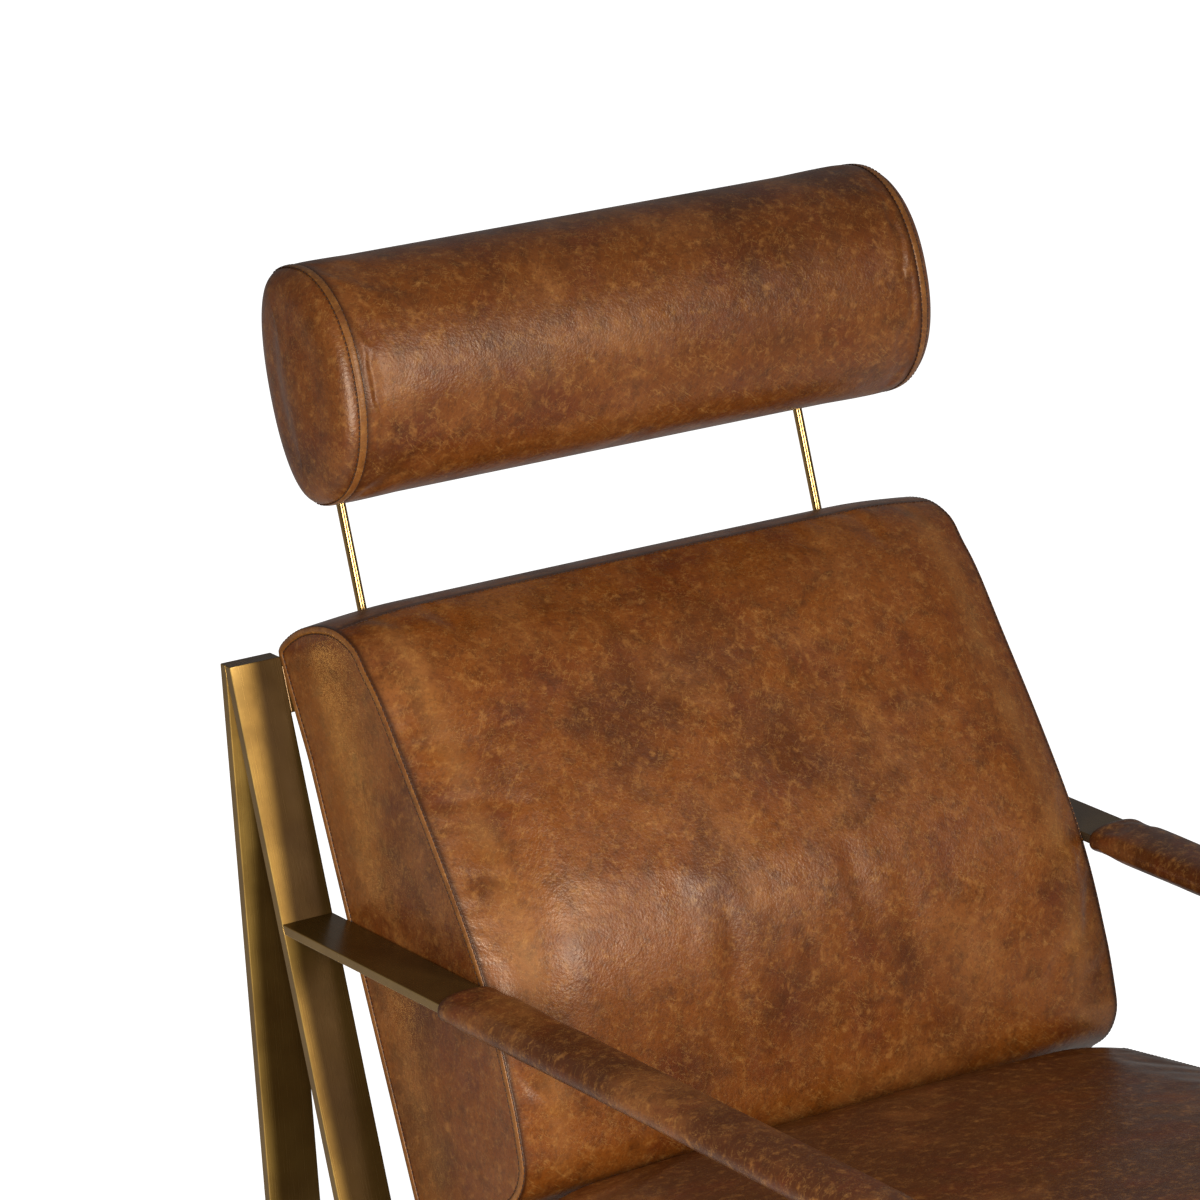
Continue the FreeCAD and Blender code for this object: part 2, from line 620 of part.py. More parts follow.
def make_flange():
    """Left-hand disc on the rod where it enters the back of the bolster."""
    corner = rod_line(ROD_RISE + ROD_TURN, 0.0)
    axis = local_frame(corner, ROD_LEAN)
    lean = math.radians(ROD_LEAN)
    to_centre = (BOLSTER_CENTRE[0] - corner[0], BOLSTER_CENTRE[1] - corner[1])
    offset = to_centre[0] * math.cos(lean) + to_centre[1] * math.sin(lean)
    seat = offset - BOLSTER_HALF_BACK - SEAT_CLEARANCE
    first = side_point(-ROD_PLACE, axis(seat - FLANGE_THICK, 0.0))
    last = side_point(-ROD_PLACE, axis(seat, 0.0))
    disc = cylinder_between(first, last, FLANGE_RADIUS)
    return disc.cut(cylinder_between(first, last, ROD_DIA / 2))


def make_arm_pads():
    """Foam and leather sleeves round the arm bars."""
    middle = ARM_TOP - BAR_THICK / 2
    sizes = (PAD_HALF_WIDE, PAD_HALF_TALL, PAD_HALF_TALL, PAD_TIP_RADIUS)
    foam_sizes = tuple(size - PAD_LEATHER - SEAT_CLEARANCE for size in sizes)
    space_sizes = tuple(size - PAD_LEATHER for size in sizes)
    slot = [
        (PAD_START - BAR_THICK, ARM_TOP + SEAT_CLEARANCE),
        (PAD_END + BAR_THICK, ARM_TOP + SEAT_CLEARANCE),
        (PAD_END + BAR_THICK, ARM_UNDER - SEAT_CLEARANCE),
        (PAD_START - BAR_THICK, ARM_UNDER - SEAT_CLEARANCE),
    ]
    slot_solid = prism(slot, -OUTER_HALF - SEAT_CLEARANCE, -INNER_HALF + SEAT_CLEARANCE)
    both_sides("arm_pad_foam", pad_bar(foam_sizes, middle).cut(slot_solid))
    both_sides("arm_pad_leather", pad_bar(sizes, middle).cut(pad_bar(space_sizes, middle)))


def pad_bar(sizes, height):
    """Left-hand oval bar along the arm, wide side level."""
    flat = local_frame((0.0, 0.0), 0.0)
    bar = oval_bar(flat, sizes, PAD_START, PAD_END)
    turned = FreeCAD.Placement(Vector(-BAR_MIDDLE, 0, height), FreeCAD.Rotation(Vector(0, 0, 1), -90))
    return bar.transformed(turned.toMatrix())


def make_fixings():
    """Bolts through the seat rails into the deck and through the top rail into the back."""
    rail_under = -DECK_THICK - BAR_THICK
    for number, place in enumerate(SEAT_RAIL_PLACES, start=1):
        head = deck(place, rail_under - BOLT_HEAD_HEIGHT)
        seat = deck(place, rail_under)
        tip = deck(place, -DECK_THICK + BOLT_GRIP)
        fit_bolt(f"deck_bolt_{number}", head, seat, tip, (f"seat_cross_rail_{number}", "seat_deck"))
    along = BACK_RAIL_DROP + BACK_RAIL_WIDTH / 2
    head = upright_line(along, -BAR_THICK - BOLT_HEAD_HEIGHT)
    seat = upright_line(along, -BAR_THICK)
    tip = upright_line(along, BACK_REAR_WALL + BOLT_GRIP)
    fit_bolt("back_bolt", head, seat, tip, ("back_top_rail", "back_cushion_cover", "back_board"))


def fit_bolt(name, head, seat, tip, pieces):
    """A pair of bolts with their heads, and the holes they sit in."""
    start, shoulder, end = [side_point(-BOLT_PLACE, place) for place in (head, seat, tip)]
    shank = cylinder_between(shoulder, end, BOLT_DIA / 2)
    bolt = cylinder_between(start, shoulder, BOLT_HEAD_DIA / 2).fuse(shank).removeSplitter()
    both_sides(name, bolt)
    for piece in pieces:
        for hole in mirrored_pair(shank):
            nodes[piece] = nodes[piece].cut(hole)


def export_all():
    """Move the chair to the middle of its footprint and write one file per piece."""
    box = Part.makeCompound(list(nodes.values())).BoundBox
    shift = Vector(0, -(box.YMin + box.YMax) / 2, 0)
    print("forward datum at y =", round(shift.y, 3))
    os.makedirs("parts", exist_ok=True)
    for name, shape in nodes.items():
        solid = shape.Solids[0] if len(shape.Solids) == 1 else shape
        solid = solid.copy()
        solid.translate(shift)
        print(name, len(shape.Solids), solid.isValid(), round(solid.Volume / 1000.0, 1), "cm3")
        solid.exportStep(f"parts/{name}.step")


def main():
    """Build every piece of the chair."""
    make_side_frames()
    make_cross_rails()
    make_seat()
    make_back()
    make_back_brackets()
    make_headrest()
    make_arm_pads()
    make_fixings()
    export_all()


main()
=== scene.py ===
"""Leather armchair on a brass flat-bar frame, with a bolster headrest on two rods: its looks.

Metres, +X to the right seen from the front, -Y to the front, +Z up. Side views are written in
millimetres as (forward, height): forward runs to -Y from the front top corner of the side frame.
"""

import logging
import math
from dataclasses import dataclass
from enum import Enum
from typing import Any

import bpy
import numpy as np
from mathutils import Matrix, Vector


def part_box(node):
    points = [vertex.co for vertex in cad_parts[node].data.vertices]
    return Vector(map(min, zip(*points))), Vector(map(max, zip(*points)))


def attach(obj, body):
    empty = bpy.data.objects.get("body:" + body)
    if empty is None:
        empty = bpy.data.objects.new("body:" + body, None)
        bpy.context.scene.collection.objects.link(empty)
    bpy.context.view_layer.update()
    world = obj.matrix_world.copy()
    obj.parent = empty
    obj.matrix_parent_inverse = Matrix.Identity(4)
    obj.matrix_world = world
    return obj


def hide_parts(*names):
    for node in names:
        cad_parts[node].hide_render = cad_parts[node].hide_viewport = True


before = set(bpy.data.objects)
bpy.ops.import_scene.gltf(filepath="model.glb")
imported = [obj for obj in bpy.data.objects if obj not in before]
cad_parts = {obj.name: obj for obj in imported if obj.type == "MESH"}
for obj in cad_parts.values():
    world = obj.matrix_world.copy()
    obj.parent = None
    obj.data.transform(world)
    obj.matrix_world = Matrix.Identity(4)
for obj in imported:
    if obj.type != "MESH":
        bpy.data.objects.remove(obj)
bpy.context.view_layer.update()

LOG = logging.getLogger("armchair")
MM = 0.001
APEX_DEPTH = 14.4           # flat on top of the joined rear leg and upright
DATUM_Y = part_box("rear_leg_left")[1].y - APEX_DEPTH * MM
CUSHION_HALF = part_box("back_cushion_cover")[1].x / MM


class Body(Enum):
    """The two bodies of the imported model."""

    CHAIR = "chair"
    HEADREST = "headrest"


def srgb(code: str) -> tuple[float, float, float, float]:
    """Turn an sRGB hex colour to linear: the low end divided by 12.92, the rest to the power 2.4.

    Args:
        code: Colour as "#RRGGBB".

    Returns:
        Linear red, green, blue and an alpha of 1.
    """
    parts = [int(code[i:i + 2], 16) / 255 for i in (1, 3, 5)]
    linear = [c / 12.92 if c <= 0.04045 else ((c + 0.055) / 1.055) ** 2.4 for c in parts]
    return (linear[0], linear[1], linear[2], 1.0)


def per_size(size_mm: float) -> float:
    """Texture scale at which one feature is about size_mm across."""
    return 1.0 / (size_mm * MM)


def add_node(tree: bpy.types.NodeTree, kind: str, feeds: dict[Any, Any] | None = None,
             **settings: Any) -> bpy.types.Node:
    """Add one node with its settings and links.

    Args:
        tree: Node tree that gets the node.
        kind: Blender's type name of the node.
        feeds: Input name or number, with a value to set or an output socket to link.
        settings: Properties of the node itself.

    Returns:
        The new node.
    """
    node = tree.nodes.new(kind)
    for key, value in settings.items():
        setattr(node, key, value)
    for key, value in (feeds or {}).items():
        if isinstance(value, bpy.types.NodeSocket):
            tree.links.new(value, node.inputs[key])
        else:
            node.inputs[key].default_value = value
    return node


MIX_FACTOR, MIX_A, MIX_B, MIX_OUT = 0, 6, 7, 2      # a Mix node's colour sockets


@dataclass(frozen=True)
class Stain:
    """One cloud of colour in a hide: where noise of this size rises past start, colour comes in."""

    size_mm: float
    start: float
    stop: float
    colour: str
    amount: float
    detail: float = 5.0


@dataclass(frozen=True)
class HairLines:
    """Fine pale scratches: thin sheets of stretched noise cut by the surface, turned by turn."""

    turn: tuple[float, float, float]
    length_mm: float
    gap_mm: float
    colour: str
    amount: float


@dataclass(frozen=True)
class Finish:
    """A surface of the chair: a named material made of nodes."""

    name: str

    def material(self) -> bpy.types.Material:
        """Make the material once and hand out the same one after that.

        Returns:
            The Blender material.
        """
        found = bpy.data.materials.get(self.name)
        if found:
            return found
        made = bpy.data.materials.new(self.name)
        made.use_nodes = True
        made.node_tree.nodes.clear()
        shader = add_node(made.node_tree, "ShaderNodeBsdfPrincipled")
        add_node(made.node_tree, "ShaderNodeOutputMaterial", {"Surface": shader.outputs[0]})
        self.paint(made.node_tree, shader)
        return made

    def paint(self, tree: bpy.types.NodeTree, shader: bpy.types.Node) -> None:
        """Feed the shader; each finish has its own way."""
        raise NotImplementedError

    def feed(self, shader: bpy.types.Node, colour: bpy.types.NodeSocket, gloss: bpy.types.Node,
             bump: bpy.types.Node) -> None:
        """Link a colour, a roughness and a bump to the shader.

        Args:
            shader: The principled shader.
            colour: Socket of the base colour.
            gloss: Node whose first output is the roughness.
            bump: Node whose first output is the normal.
        """
        sockets = {"Base Color": colour, "Roughness": gloss.outputs[0], "Normal": bump.outputs[0]}
        for name, socket in sockets.items():
            shader.id_data.links.new(socket, shader.inputs[name])


@dataclass(frozen=True)
class AgedLeather(Finish):
    """Waxed pull-up cowhide, aniline dyed and distressed by hand.

    The eye sees a saddle brown that clouds from umber to amber, short pale hair lines where the
    wax has cracked, a pebbled grain that breaks up a soft satin highlight, and darker seams.
    """

    base: str = "#7A3F10"
    offset: tuple[float, float, float] = (0.0, 0.0, 0.0)
    roughness: tuple[float, float] = (0.29, 0.44)
    swirl_mm: float = 16.0              # how far the swirl carries the dye
    line_width: float = 0.02            # share of the noise's range that shows as a line
    specular: float = 0.62
    sheen: str = "#FFE6CC"
    # pale tone of wear, also the painted highlight on the back's ridge and on the bands
    wear_highlight: str = "#B98346"
    seam: str = "#341605"
    stains: tuple[Stain, ...] = (
        Stain(140.0, 0.48, 0.70, "#451D08", 0.70, 3.0),
        Stain(105.0, 0.48, 0.72, "#93592A", 0.60, 3.0),
        Stain(52.0, 0.49, 0.70, "#5E260C", 0.62, 3.0),
        Stain(21.0, 0.46, 0.74, "#3E1D08", 0.52, 4.0),
        Stain(9.0, 0.50, 0.76, "#A86F34", 0.50, 4.0),
        Stain(3.2, 0.46, 0.74, "#3A1B0B", 0.32, 1.0),
    )
    lines: tuple[HairLines, ...] = (
        HairLines((0.2, 0.6, 0.3), 34.0, 4.6, "#BE8C4A", 0.32),
        HairLines((-0.3, -0.75, 0.5), 28.0, 4.0, "#B68242", 0.30),
        HairLines((0.5, 1.45, -0.4), 40.0, 5.5, "#34160A", 0.34),
    )

    def paint(self, tree: bpy.types.NodeTree, shader: bpy.types.Node) -> None:
        """Build the colour cloud by cloud, then lines, seams, wear with painted highlight, gloss and grain.

        Args:
            tree: The material's node tree.
            shader: Its principled shader.
        """
        coords = add_node(tree, "ShaderNodeTexCoord").outputs["Object"]
        place = add_node(tree, "ShaderNodeMapping",
                         {"Vector": coords, "Location": self.offset}).outputs[0]
        # One slow swirl bends all the clouds, so that they smear as hand-rubbed dye does.
        swirl = add_node(tree, "ShaderNodeTexNoise", {
            "Vector": place, "Scale": per_size(70.0), "Detail": 1.0})
        reach = (self.swirl_mm * MM,) * 3
        bent = add_node(tree, "ShaderNodeVectorMath", {
            0: swirl.outputs["Color"], 1: reach, 2: place}, operation="MULTIPLY_ADD").outputs[0]
        colour = srgb(self.base)
        for k, stain in enumerate(self.stains):
            shifted = add_node(tree, "ShaderNodeVectorMath", {0: bent, 1: (k * 1.7, k * 0.9, k * 2.3)},
                               operation="ADD").outputs[0]
            noise = add_node(tree, "ShaderNodeTexNoise", {
                "Vector": shifted, "Scale": per_size(stain.size_mm), "Detail": stain.detail,
                "Roughness": 0.62})
            share = add_node(tree, "ShaderNodeMapRange", {
                "Value": noise.outputs[0], "From Min": stain.start, "From Max": stain.stop,
                "To Max": stain.amount}, interpolation_type="SMOOTHSTEP")
            colour = add_node(tree, "ShaderNodeMix", {
                MIX_FACTOR: share.outputs[0], MIX_A: colour, MIX_B: srgb(stain.colour)},
                data_type="RGBA").outputs[MIX_OUT]
        for line in self.lines:
            turned = add_node(tree, "ShaderNodeMapping", {
                "Vector": place, "Rotation": line.turn,
                "Scale": (line.length_mm * MM, line.gap_mm * MM, line.gap_mm * MM)}, vector_type="TEXTURE")
            noise = add_node(tree, "ShaderNodeTexNoise", {
                "Vector": turned.outputs[0], "Scale": 1.0, "Detail": 3.0})
            centred = add_node(tree, "ShaderNodeMath", {0: noise.outputs[0], 1: 0.5}, operation="SUBTRACT")
            ridge = add_node(tree, "ShaderNodeMath", {0: centred.outputs[0]}, operation="ABSOLUTE")
            thin = add_node(tree, "ShaderNodeMapRange", {
                "Value": ridge.outputs[0], "From Min": 0.0, "From Max": self.line_width,
                "To Min": line.amount, "To Max": 0.0})
            patch = add_node(tree, "ShaderNodeTexNoise", {
                "Vector": turned.outputs[0], "Scale": 0.6, "Detail": 1.0})
            kept = add_node(tree, "ShaderNodeMapRange", {
                "Value": patch.outputs[0], "From Min": 0.42, "From Max": 0.62})
            share = add_node(tree, "ShaderNodeMath", {0: thin.outputs[0], 1: kept.outputs[0]},
                             operation="MULTIPLY").outputs[0]
            colour = add_node(tree, "ShaderNodeMix", {
                MIX_FACTOR: share, MIX_A: colour, MIX_B: srgb(line.colour)},
                data_type="RGBA").outputs[MIX_OUT]
        # The wear share is pale wear with painted highlight; the seam share darkens the sewn edges.
        for name, tone in (("wear_and_highlight", self.wear_highlight), ("seam", self.seam)):
            share = add_node(tree, "ShaderNodeAttribute", attribute_name=name).outputs["Fac"]
            colour = add_node(tree, "ShaderNodeMix", {
                MIX_FACTOR: share, MIX_A: colour, MIX_B: srgb(tone)}, data_type="RGBA").outputs[MIX_OUT]
        wax = add_node(tree, "ShaderNodeTexNoise", {
            "Vector": bent, "Scale": per_size(38.0), "Detail": 3.0, "Roughness": 0.6})
        gloss = add_node(tree, "ShaderNodeMapRange", {
            "Value": wax.outputs[0], "From Min": 0.3, "From Max": 0.7,
            "To Min": self.roughness[0], "To Max": self.roughness[1]})
        shader.inputs["Specular IOR Level"].default_value = self.specular
        shader.inputs["Specular Tint"].default_value = srgb(self.sheen)

        # Real grain is about 1 mm; it is drawn at 2.2 mm so that it shows at this distance.
        grain = add_node(tree, "ShaderNodeTexNoise", {
            "Vector": place, "Scale": per_size(2.2), "Detail": 1.0, "Roughness": 0.6})
        fold = add_node(tree, "ShaderNodeTexNoise", {
            "Vector": bent, "Scale": per_size(14.0), "Detail": 3.0, "Roughness": 0.6})
        height = add_node(tree, "ShaderNodeMath", {
            0: grain.outputs[0], 1: 0.45, 2: fold.outputs[0]}, operation="MULTIPLY_ADD")
        bump = add_node(tree, "ShaderNodeBump", {
            "Height": height.outputs[0], "Strength": 0.55, "Distance": 0.0009})
        self.feed(shader, colour, gloss, bump)


@dataclass(frozen=True)
class BrushedBrass(Finish):
    """Mild steel flat bar plated in antique brass, brushed along its length and lacquered.

    The eye sees warm gold with clouds of patina, fine lines along the bar and greyer sawn edges.
    Towards the cushions and on faces that look up it turns dark brown: painted shade.
    """

    colour: str = "#DDB05A"
    patina: str = "#6B4A20"
    edge: str = "#5F4C39"
    # colour of the painted shade towards the cushions and on faces that look up
    dark: str = "#362008"
    inner: float = 0.332                # across the chair: where the painted shade of the cushions is full, and where it ends
    outer: float = 0.350
    creep: float = 0.017                # how much further out the painted shade reaches low on the bars than at their top
    arm_height: float = 0.50
    top_height: float = 0.74
    brush_mm: tuple[float, float, float] = (0.9, 90.0, 90.0)

    def paint(self, tree: bpy.types.NodeTree, shader: bpy.types.Node) -> None:
        """Patina clouds, painted shade towards the cushions and on faces that look up, brush lines in gloss
        and bump, duller edges that face sideways.

        Args:
            tree: The material's node tree.
            shader: Its principled shader.
        """
        source = add_node(tree, "ShaderNodeTexCoord")
        coords = source.outputs["Object"]
        clouds = add_node(tree, "ShaderNodeTexNoise", {
            "Vector": coords, "Scale": per_size(70.0), "Detail": 5.0, "Roughness": 0.6})
        aged = add_node(tree, "ShaderNodeMapRange", {
            "Value": clouds.outputs[0], "From Min": 0.4, "From Max": 0.75, "To Max": 0.6})
        colour = add_node(tree, "ShaderNodeMix", {
            MIX_FACTOR: aged.outputs[0], MIX_A: srgb(self.colour), MIX_B: srgb(self.patina)},
            data_type="RGBA").outputs[MIX_OUT]
        across = add_node(tree, "ShaderNodeSeparateXYZ", {0: coords})
        out = add_node(tree, "ShaderNodeMath", {0: across.outputs[0]}, operation="ABSOLUTE")
        # Painted shade: dark brown over the part of each bar nearer the middle, where the cushions take its
        # light, reaching further out low on the bars.
        lower = add_node(tree, "ShaderNodeMapRange", {
            "Value": across.outputs[2], "From Min": self.arm_height, "From Max": self.top_height,
            "To Min": self.creep, "To Max": 0.0})
        from_middle = add_node(tree, "ShaderNodeMath", {
            0: out.outputs[0], 1: lower.outputs[0]}, operation="SUBTRACT")
        kept = add_node(tree, "ShaderNodeMapRange", {
            "Value": from_middle.outputs[0], "From Min": self.inner, "From Max": self.outer,
            "To Min": 0.90, "To Max": 0.0}, interpolation_type="SMOOTHSTEP")
        # Painted shade on faces that look up, such as the tops of the arms.
        facing = add_node(tree, "ShaderNodeSeparateXYZ", {0: source.outputs["Normal"]})
        painted_top_shade = add_node(tree, "ShaderNodeMapRange", {
            "Value": facing.outputs[2], "From Min": 0.6, "From Max": 0.95, "To Max": 0.9})
        painted_shade = add_node(tree, "ShaderNodeMath", {
            0: kept.outputs[0], 1: painted_top_shade.outputs[0]}, operation="MAXIMUM")
        colour = add_node(tree, "ShaderNodeMix", {
            MIX_FACTOR: painted_shade.outputs[0], MIX_A: colour, MIX_B: srgb(self.dark)},
            data_type="RGBA").outputs[MIX_OUT]
        sideways = add_node(tree, "ShaderNodeMath", {0: facing.outputs[0]}, operation="ABSOLUTE")
        sawn = add_node(tree, "ShaderNodeMapRange", {
            "Value": sideways.outputs[0], "From Min": 0.7, "From Max": 0.95, "To Max": 0.75})
        colour = add_node(tree, "ShaderNodeMix", {
            MIX_FACTOR: sawn.outputs[0], MIX_A: colour, MIX_B: srgb(self.edge)},
            data_type="RGBA").outputs[MIX_OUT]
        stretched = add_node(tree, "ShaderNodeMapping", {
            "Vector": coords, "Scale": tuple(per_size(size) for size in self.brush_mm)})
        lines = add_node(tree, "ShaderNodeTexNoise", {
            "Vector": stretched.outputs[0], "Scale": 1.0, "Detail": 4.0, "Roughness": 0.65})
        gloss = add_node(tree, "ShaderNodeMapRange", {
            "Value": lines.outputs[0], "From Min": 0.3, "From Max": 0.7, "To Min": 0.18, "To Max": 0.30})
        bump = add_node(tree, "ShaderNodeBump", {
            "Height": lines.outputs[0], "Strength": 0.10, "Distance": 0.0004})
        self.feed(shader, colour, gloss, bump)
        shader.inputs["Metallic"].default_value = 0.55


@dataclass(frozen=True)
class SmoothMetal(Finish):
    """Drawn or plated metal with a fine cloudy film: polished brass rod, zinc-plated steel.

    The eye sees a clear reflection, slightly clouded by handling.
    """

    colour: str = "#C6A163"
    film: str = "#977242"
    roughness: tuple[float, float] = (0.12, 0.24)

    def paint(self, tree: bpy.types.NodeTree, shader: bpy.types.Node) -> None:
        """Two tones of metal by a cloud of film, with gloss from the same cloud.

        Args:
            tree: The material's node tree.
            shader: Its principled shader.
        """
        coords = add_node(tree, "ShaderNodeTexCoord").outputs["Object"]
        clouds = add_node(tree, "ShaderNodeTexNoise", {
            "Vector": coords, "Scale": per_size(18.0), "Detail": 6.0, "Roughness": 0.65})
        colour = add_node(tree, "ShaderNodeMix", {
            MIX_FACTOR: clouds.outputs[0], MIX_A: srgb(self.colour), MIX_B: srgb(self.film)},
            data_type="RGBA")
        gloss = add_node(tree, "ShaderNodeMapRange", {
            "Value": clouds.outputs[0], "From Min": 0.3, "From Max": 0.7,
            "To Min": self.roughness[0], "To Max": self.roughness[1]})
        bump = add_node(tree, "ShaderNodeBump", {
            "Height": clouds.outputs[0], "Strength": 0.05, "Distance": 0.0003})
        self.feed(shader, colour.outputs[MIX_OUT], gloss, bump)
        shader.inputs["Metallic"].default_value = 1.0


@dataclass(frozen=True)
class BirchPlywood(Finish):
    """Rotary-cut birch plywood, sanded and sealed.

    The eye sees pale wood with long wavy grain on its faces and thin darker plies at its edges.
    """

    pale: str = "#C9A57A"
    grain: str = "#A27C50"
    glue: str = "#7A5A38"
    tilt: float = math.radians(6.6)

    def paint(self, tree: bpy.types.NodeTree, shader: bpy.types.Node) -> None:
        """Stretched grain, plies as bands across the thickness on faces that look sideways.

        Args:
            tree: The material's node tree.
            shader: Its principled shader.
        """
        source = add_node(tree, "ShaderNodeTexCoord")
        level = add_node(tree, "ShaderNodeMapping", {
            "Vector": source.outputs["Object"], "Rotation": (self.tilt, 0.0, 0.0)})
        stretched = add_node(tree, "ShaderNodeMapping", {
            "Vector": level.outputs[0], "Scale": (per_size(160.0), per_size(9.0), per_size(9.0))})
        figure = add_node(tree, "ShaderNodeTexNoise", {
            "Vector": stretched.outputs[0], "Scale": 1.0, "Detail": 5.0, "Distortion": 1.4})
        colour = add_node(tree, "ShaderNodeMix", {
            MIX_FACTOR: figure.outputs[0], MIX_A: srgb(self.pale), MIX_B: srgb(self.grain)},
            data_type="RGBA").outputs[MIX_OUT]
        plies = add_node(tree, "ShaderNodeTexWave", {
            "Vector": level.outputs[0], "Scale": per_size(3.2) / 20.0, "Distortion": 0.4},
            bands_direction="Z")
        facing = add_node(tree, "ShaderNodeSeparateXYZ", {0: source.outputs["Normal"]})
        upright = add_node(tree, "ShaderNodeMath", {0: facing.outputs[2]}, operation="ABSOLUTE")
        at_edge = add_node(tree, "ShaderNodeMapRange", {
            "Value": upright.outputs[0], "From Min": 0.5, "From Max": 0.8, "To Min": 0.8, "To Max": 0.0})
        share = add_node(tree, "ShaderNodeMath", {0: plies.outputs[1], 1: at_edge.outputs[0]},
                         operation="MULTIPLY")
        colour = add_node(tree, "ShaderNodeMix", {
            MIX_FACTOR: share.outputs[0], MIX_A: colour, MIX_B: srgb(self.glue)},
            data_type="RGBA").outputs[MIX_OUT]
        gloss = add_node(tree, "ShaderNodeMapRange", {
            "Value": figure.outputs[0], "To Min": 0.48, "To Max": 0.66})
        bump = add_node(tree, "ShaderNodeBump", {
            "Height": figure.outputs[0], "Strength": 0.15, "Distance": 0.0004})
        self.feed(shader, colour, gloss, bump)


@dataclass(frozen=True)
class FineMatt(Finish):
    """A matt surface of two close tones: moulded nylon, waxed polyester thread.

    The eye sees an even dark tone with a fine roughness that softens its highlight.
    """

    colour: str = "#1D1B19"
    light: str = "#2C2926"
    size_mm: float = 1.2
    roughness: tuple[float, float] = (0.45, 0.62)

    def paint(self, tree: bpy.types.NodeTree, shader: bpy.types.Node) -> None:
        """Fine noise between the two tones, in gloss and in bump.

        Args:
            tree: The material's node tree.
            shader: Its principled shader.
        """
        coords = add_node(tree, "ShaderNodeTexCoord").outputs["Object"]
        speck = add_node(tree, "ShaderNodeTexNoise", {
            "Vector": coords, "Scale": per_size(self.size_mm), "Detail": 3.0})
        colour = add_node(tree, "ShaderNodeMix", {
            MIX_FACTOR: speck.outputs[0], MIX_A: srgb(self.colour), MIX_B: srgb(self.light)},
            data_type="RGBA")
        gloss = add_node(tree, "ShaderNodeMapRange", {
            "Value": speck.outputs[0], "To Min": self.roughness[0], "To Max": self.roughness[1]})
        bump = add_node(tree, "ShaderNodeBump", {
            "Height": speck.outputs[0], "Strength": 0.2, "Distance": 0.0002})
        self.feed(shader, colour.outputs[MIX_OUT], gloss, bump)


BACK_LEATHER = AgedLeather("waxed_pullup_leather_back")
# The seat and the pads take darker bases: painted shade, as their tops face up.
SEAT_LEATHER = AgedLeather("waxed_pullup_leather_seat", base="#4D260A", offset=(3.1, 0.4, 1.2))
BOLSTER_LEATHER = AgedLeather("waxed_pullup_leather_bolster", base="#713A0F", offset=(0.7, 2.6, 0.3))
PAD_LEATHER = AgedLeather("waxed_pullup_leather_pads", base="#4B240A", offset=(1.9, 1.1, 2.8))
# The bands take a lighter base than the panels: painted highlight of their turned edges.
BAND_LEATHER = AgedLeather("waxed_pullup_leather_bands", base="#7C4719", offset=(2.2, 0.2, 0.9))
FRAME_BRASS = BrushedBrass("antique_brass_brushed")
# The rails lie among the cushions: inner and outer reach past them, so they take the painted shade all over.
RAIL_BRASS = BrushedBrass("antique_brass_brushed_rails", brush_mm=(90.0, 0.9, 0.9), dark="#4A2C10",
                          inner=0.40, outer=0.41)
ROD_BRASS = SmoothMetal("polished_brass_drawn")
BOLT_STEEL = SmoothMetal("zinc_plated_steel", "#A9ABAC", "#85888B", (0.28, 0.42))
DECK_PLYWOOD = BirchPlywood("birch_plywood_sanded")
GLIDE_NYLON = FineMatt("moulded_black_nylon")
SEAM_THREAD = FineMatt("waxed_polyester_thread", "#2E170A", "#4B2A13", 0.8, (0.5, 0.65))


@dataclass
class Loop:
    """A closed outline in a plane, clockwise, with outward normals and a crown at every point."""

    points: np.ndarray
    normals: np.ndarray
    crown: np.ndarray
    run: np.ndarray
    length: float


def sampled_loop(points: np.ndarray, crown: np.ndarray, count: int, rounding: float,
                 dense: tuple[float, float] | None = None,
                 soft: tuple[float, float, float] | None = None) -> Loop:
    """Round a closed polyline and sample it.

    The line is spread evenly by length, each coordinate is blurred along it with a bell of the
    given width, and count points are taken, closer together round one place where asked.

    Args:
        points: Polyline of forward and height, clockwise.
        crown: Swelling at each point, in millimetres.
        count: Number of points wanted.
        rounding: Width of the bell in millimetres.
        dense: Place along the line and half-width of a stretch with three times the points.
        soft: Start, stop and bell width of a stretch that is rounded more.

    Returns:
        The rounded outline.
    """
    fine = 4096
    closed = np.vstack([points, points[:1]])
    run = np.concatenate([[0.0], np.cumsum(np.hypot(*np.diff(closed, axis=0).T))])
    length = float(run[-1])
    even = np.arange(fine) * length / fine
    values = np.stack([np.interp(even, run, column) for column in
                       (closed[:, 0], closed[:, 1], np.append(crown, crown[:1]))])
    pitch = np.fft.fftfreq(fine, length / fine)
    spectrum = np.fft.fft(values, axis=1)

    def blurred(width: float) -> np.ndarray:
        """The line blurred with a bell of this width."""
        return np.fft.ifft(spectrum * np.exp(-2.0 * (math.pi * pitch * width) ** 2), axis=1).real

    smooth = blurred(rounding)
    if soft:
        inside = np.clip(np.minimum(even - soft[0], soft[1] - even) / soft[2], 0.0, 1.0)
        smooth += (blurred(soft[2]) - smooth) * (inside ** 2 * (3.0 - 2.0 * inside))
    weight = np.ones(fine)
    if dense:
        off = (even - dense[0] + length / 2) % length - length / 2
        weight += 2.0 * np.exp(-(off / dense[1]) ** 2)
    share = np.concatenate([[0.0], np.cumsum(weight)]) / weight.sum()
    wanted = np.interp(np.arange(count) / count, share, np.append(even, length))
    taken = np.stack([np.interp(wanted, even, row, period=length) for row in smooth])
    outline = taken[:2].T
    ahead = np.roll(outline, -1, axis=0) - np.roll(outline, 1, axis=0)
    ahead /= np.linalg.norm(ahead, axis=1, keepdims=True)
    normals = np.stack([-ahead[:, 1], ahead[:, 0]], axis=-1)
    return Loop(outline, normals, taken[2], wanted, length)


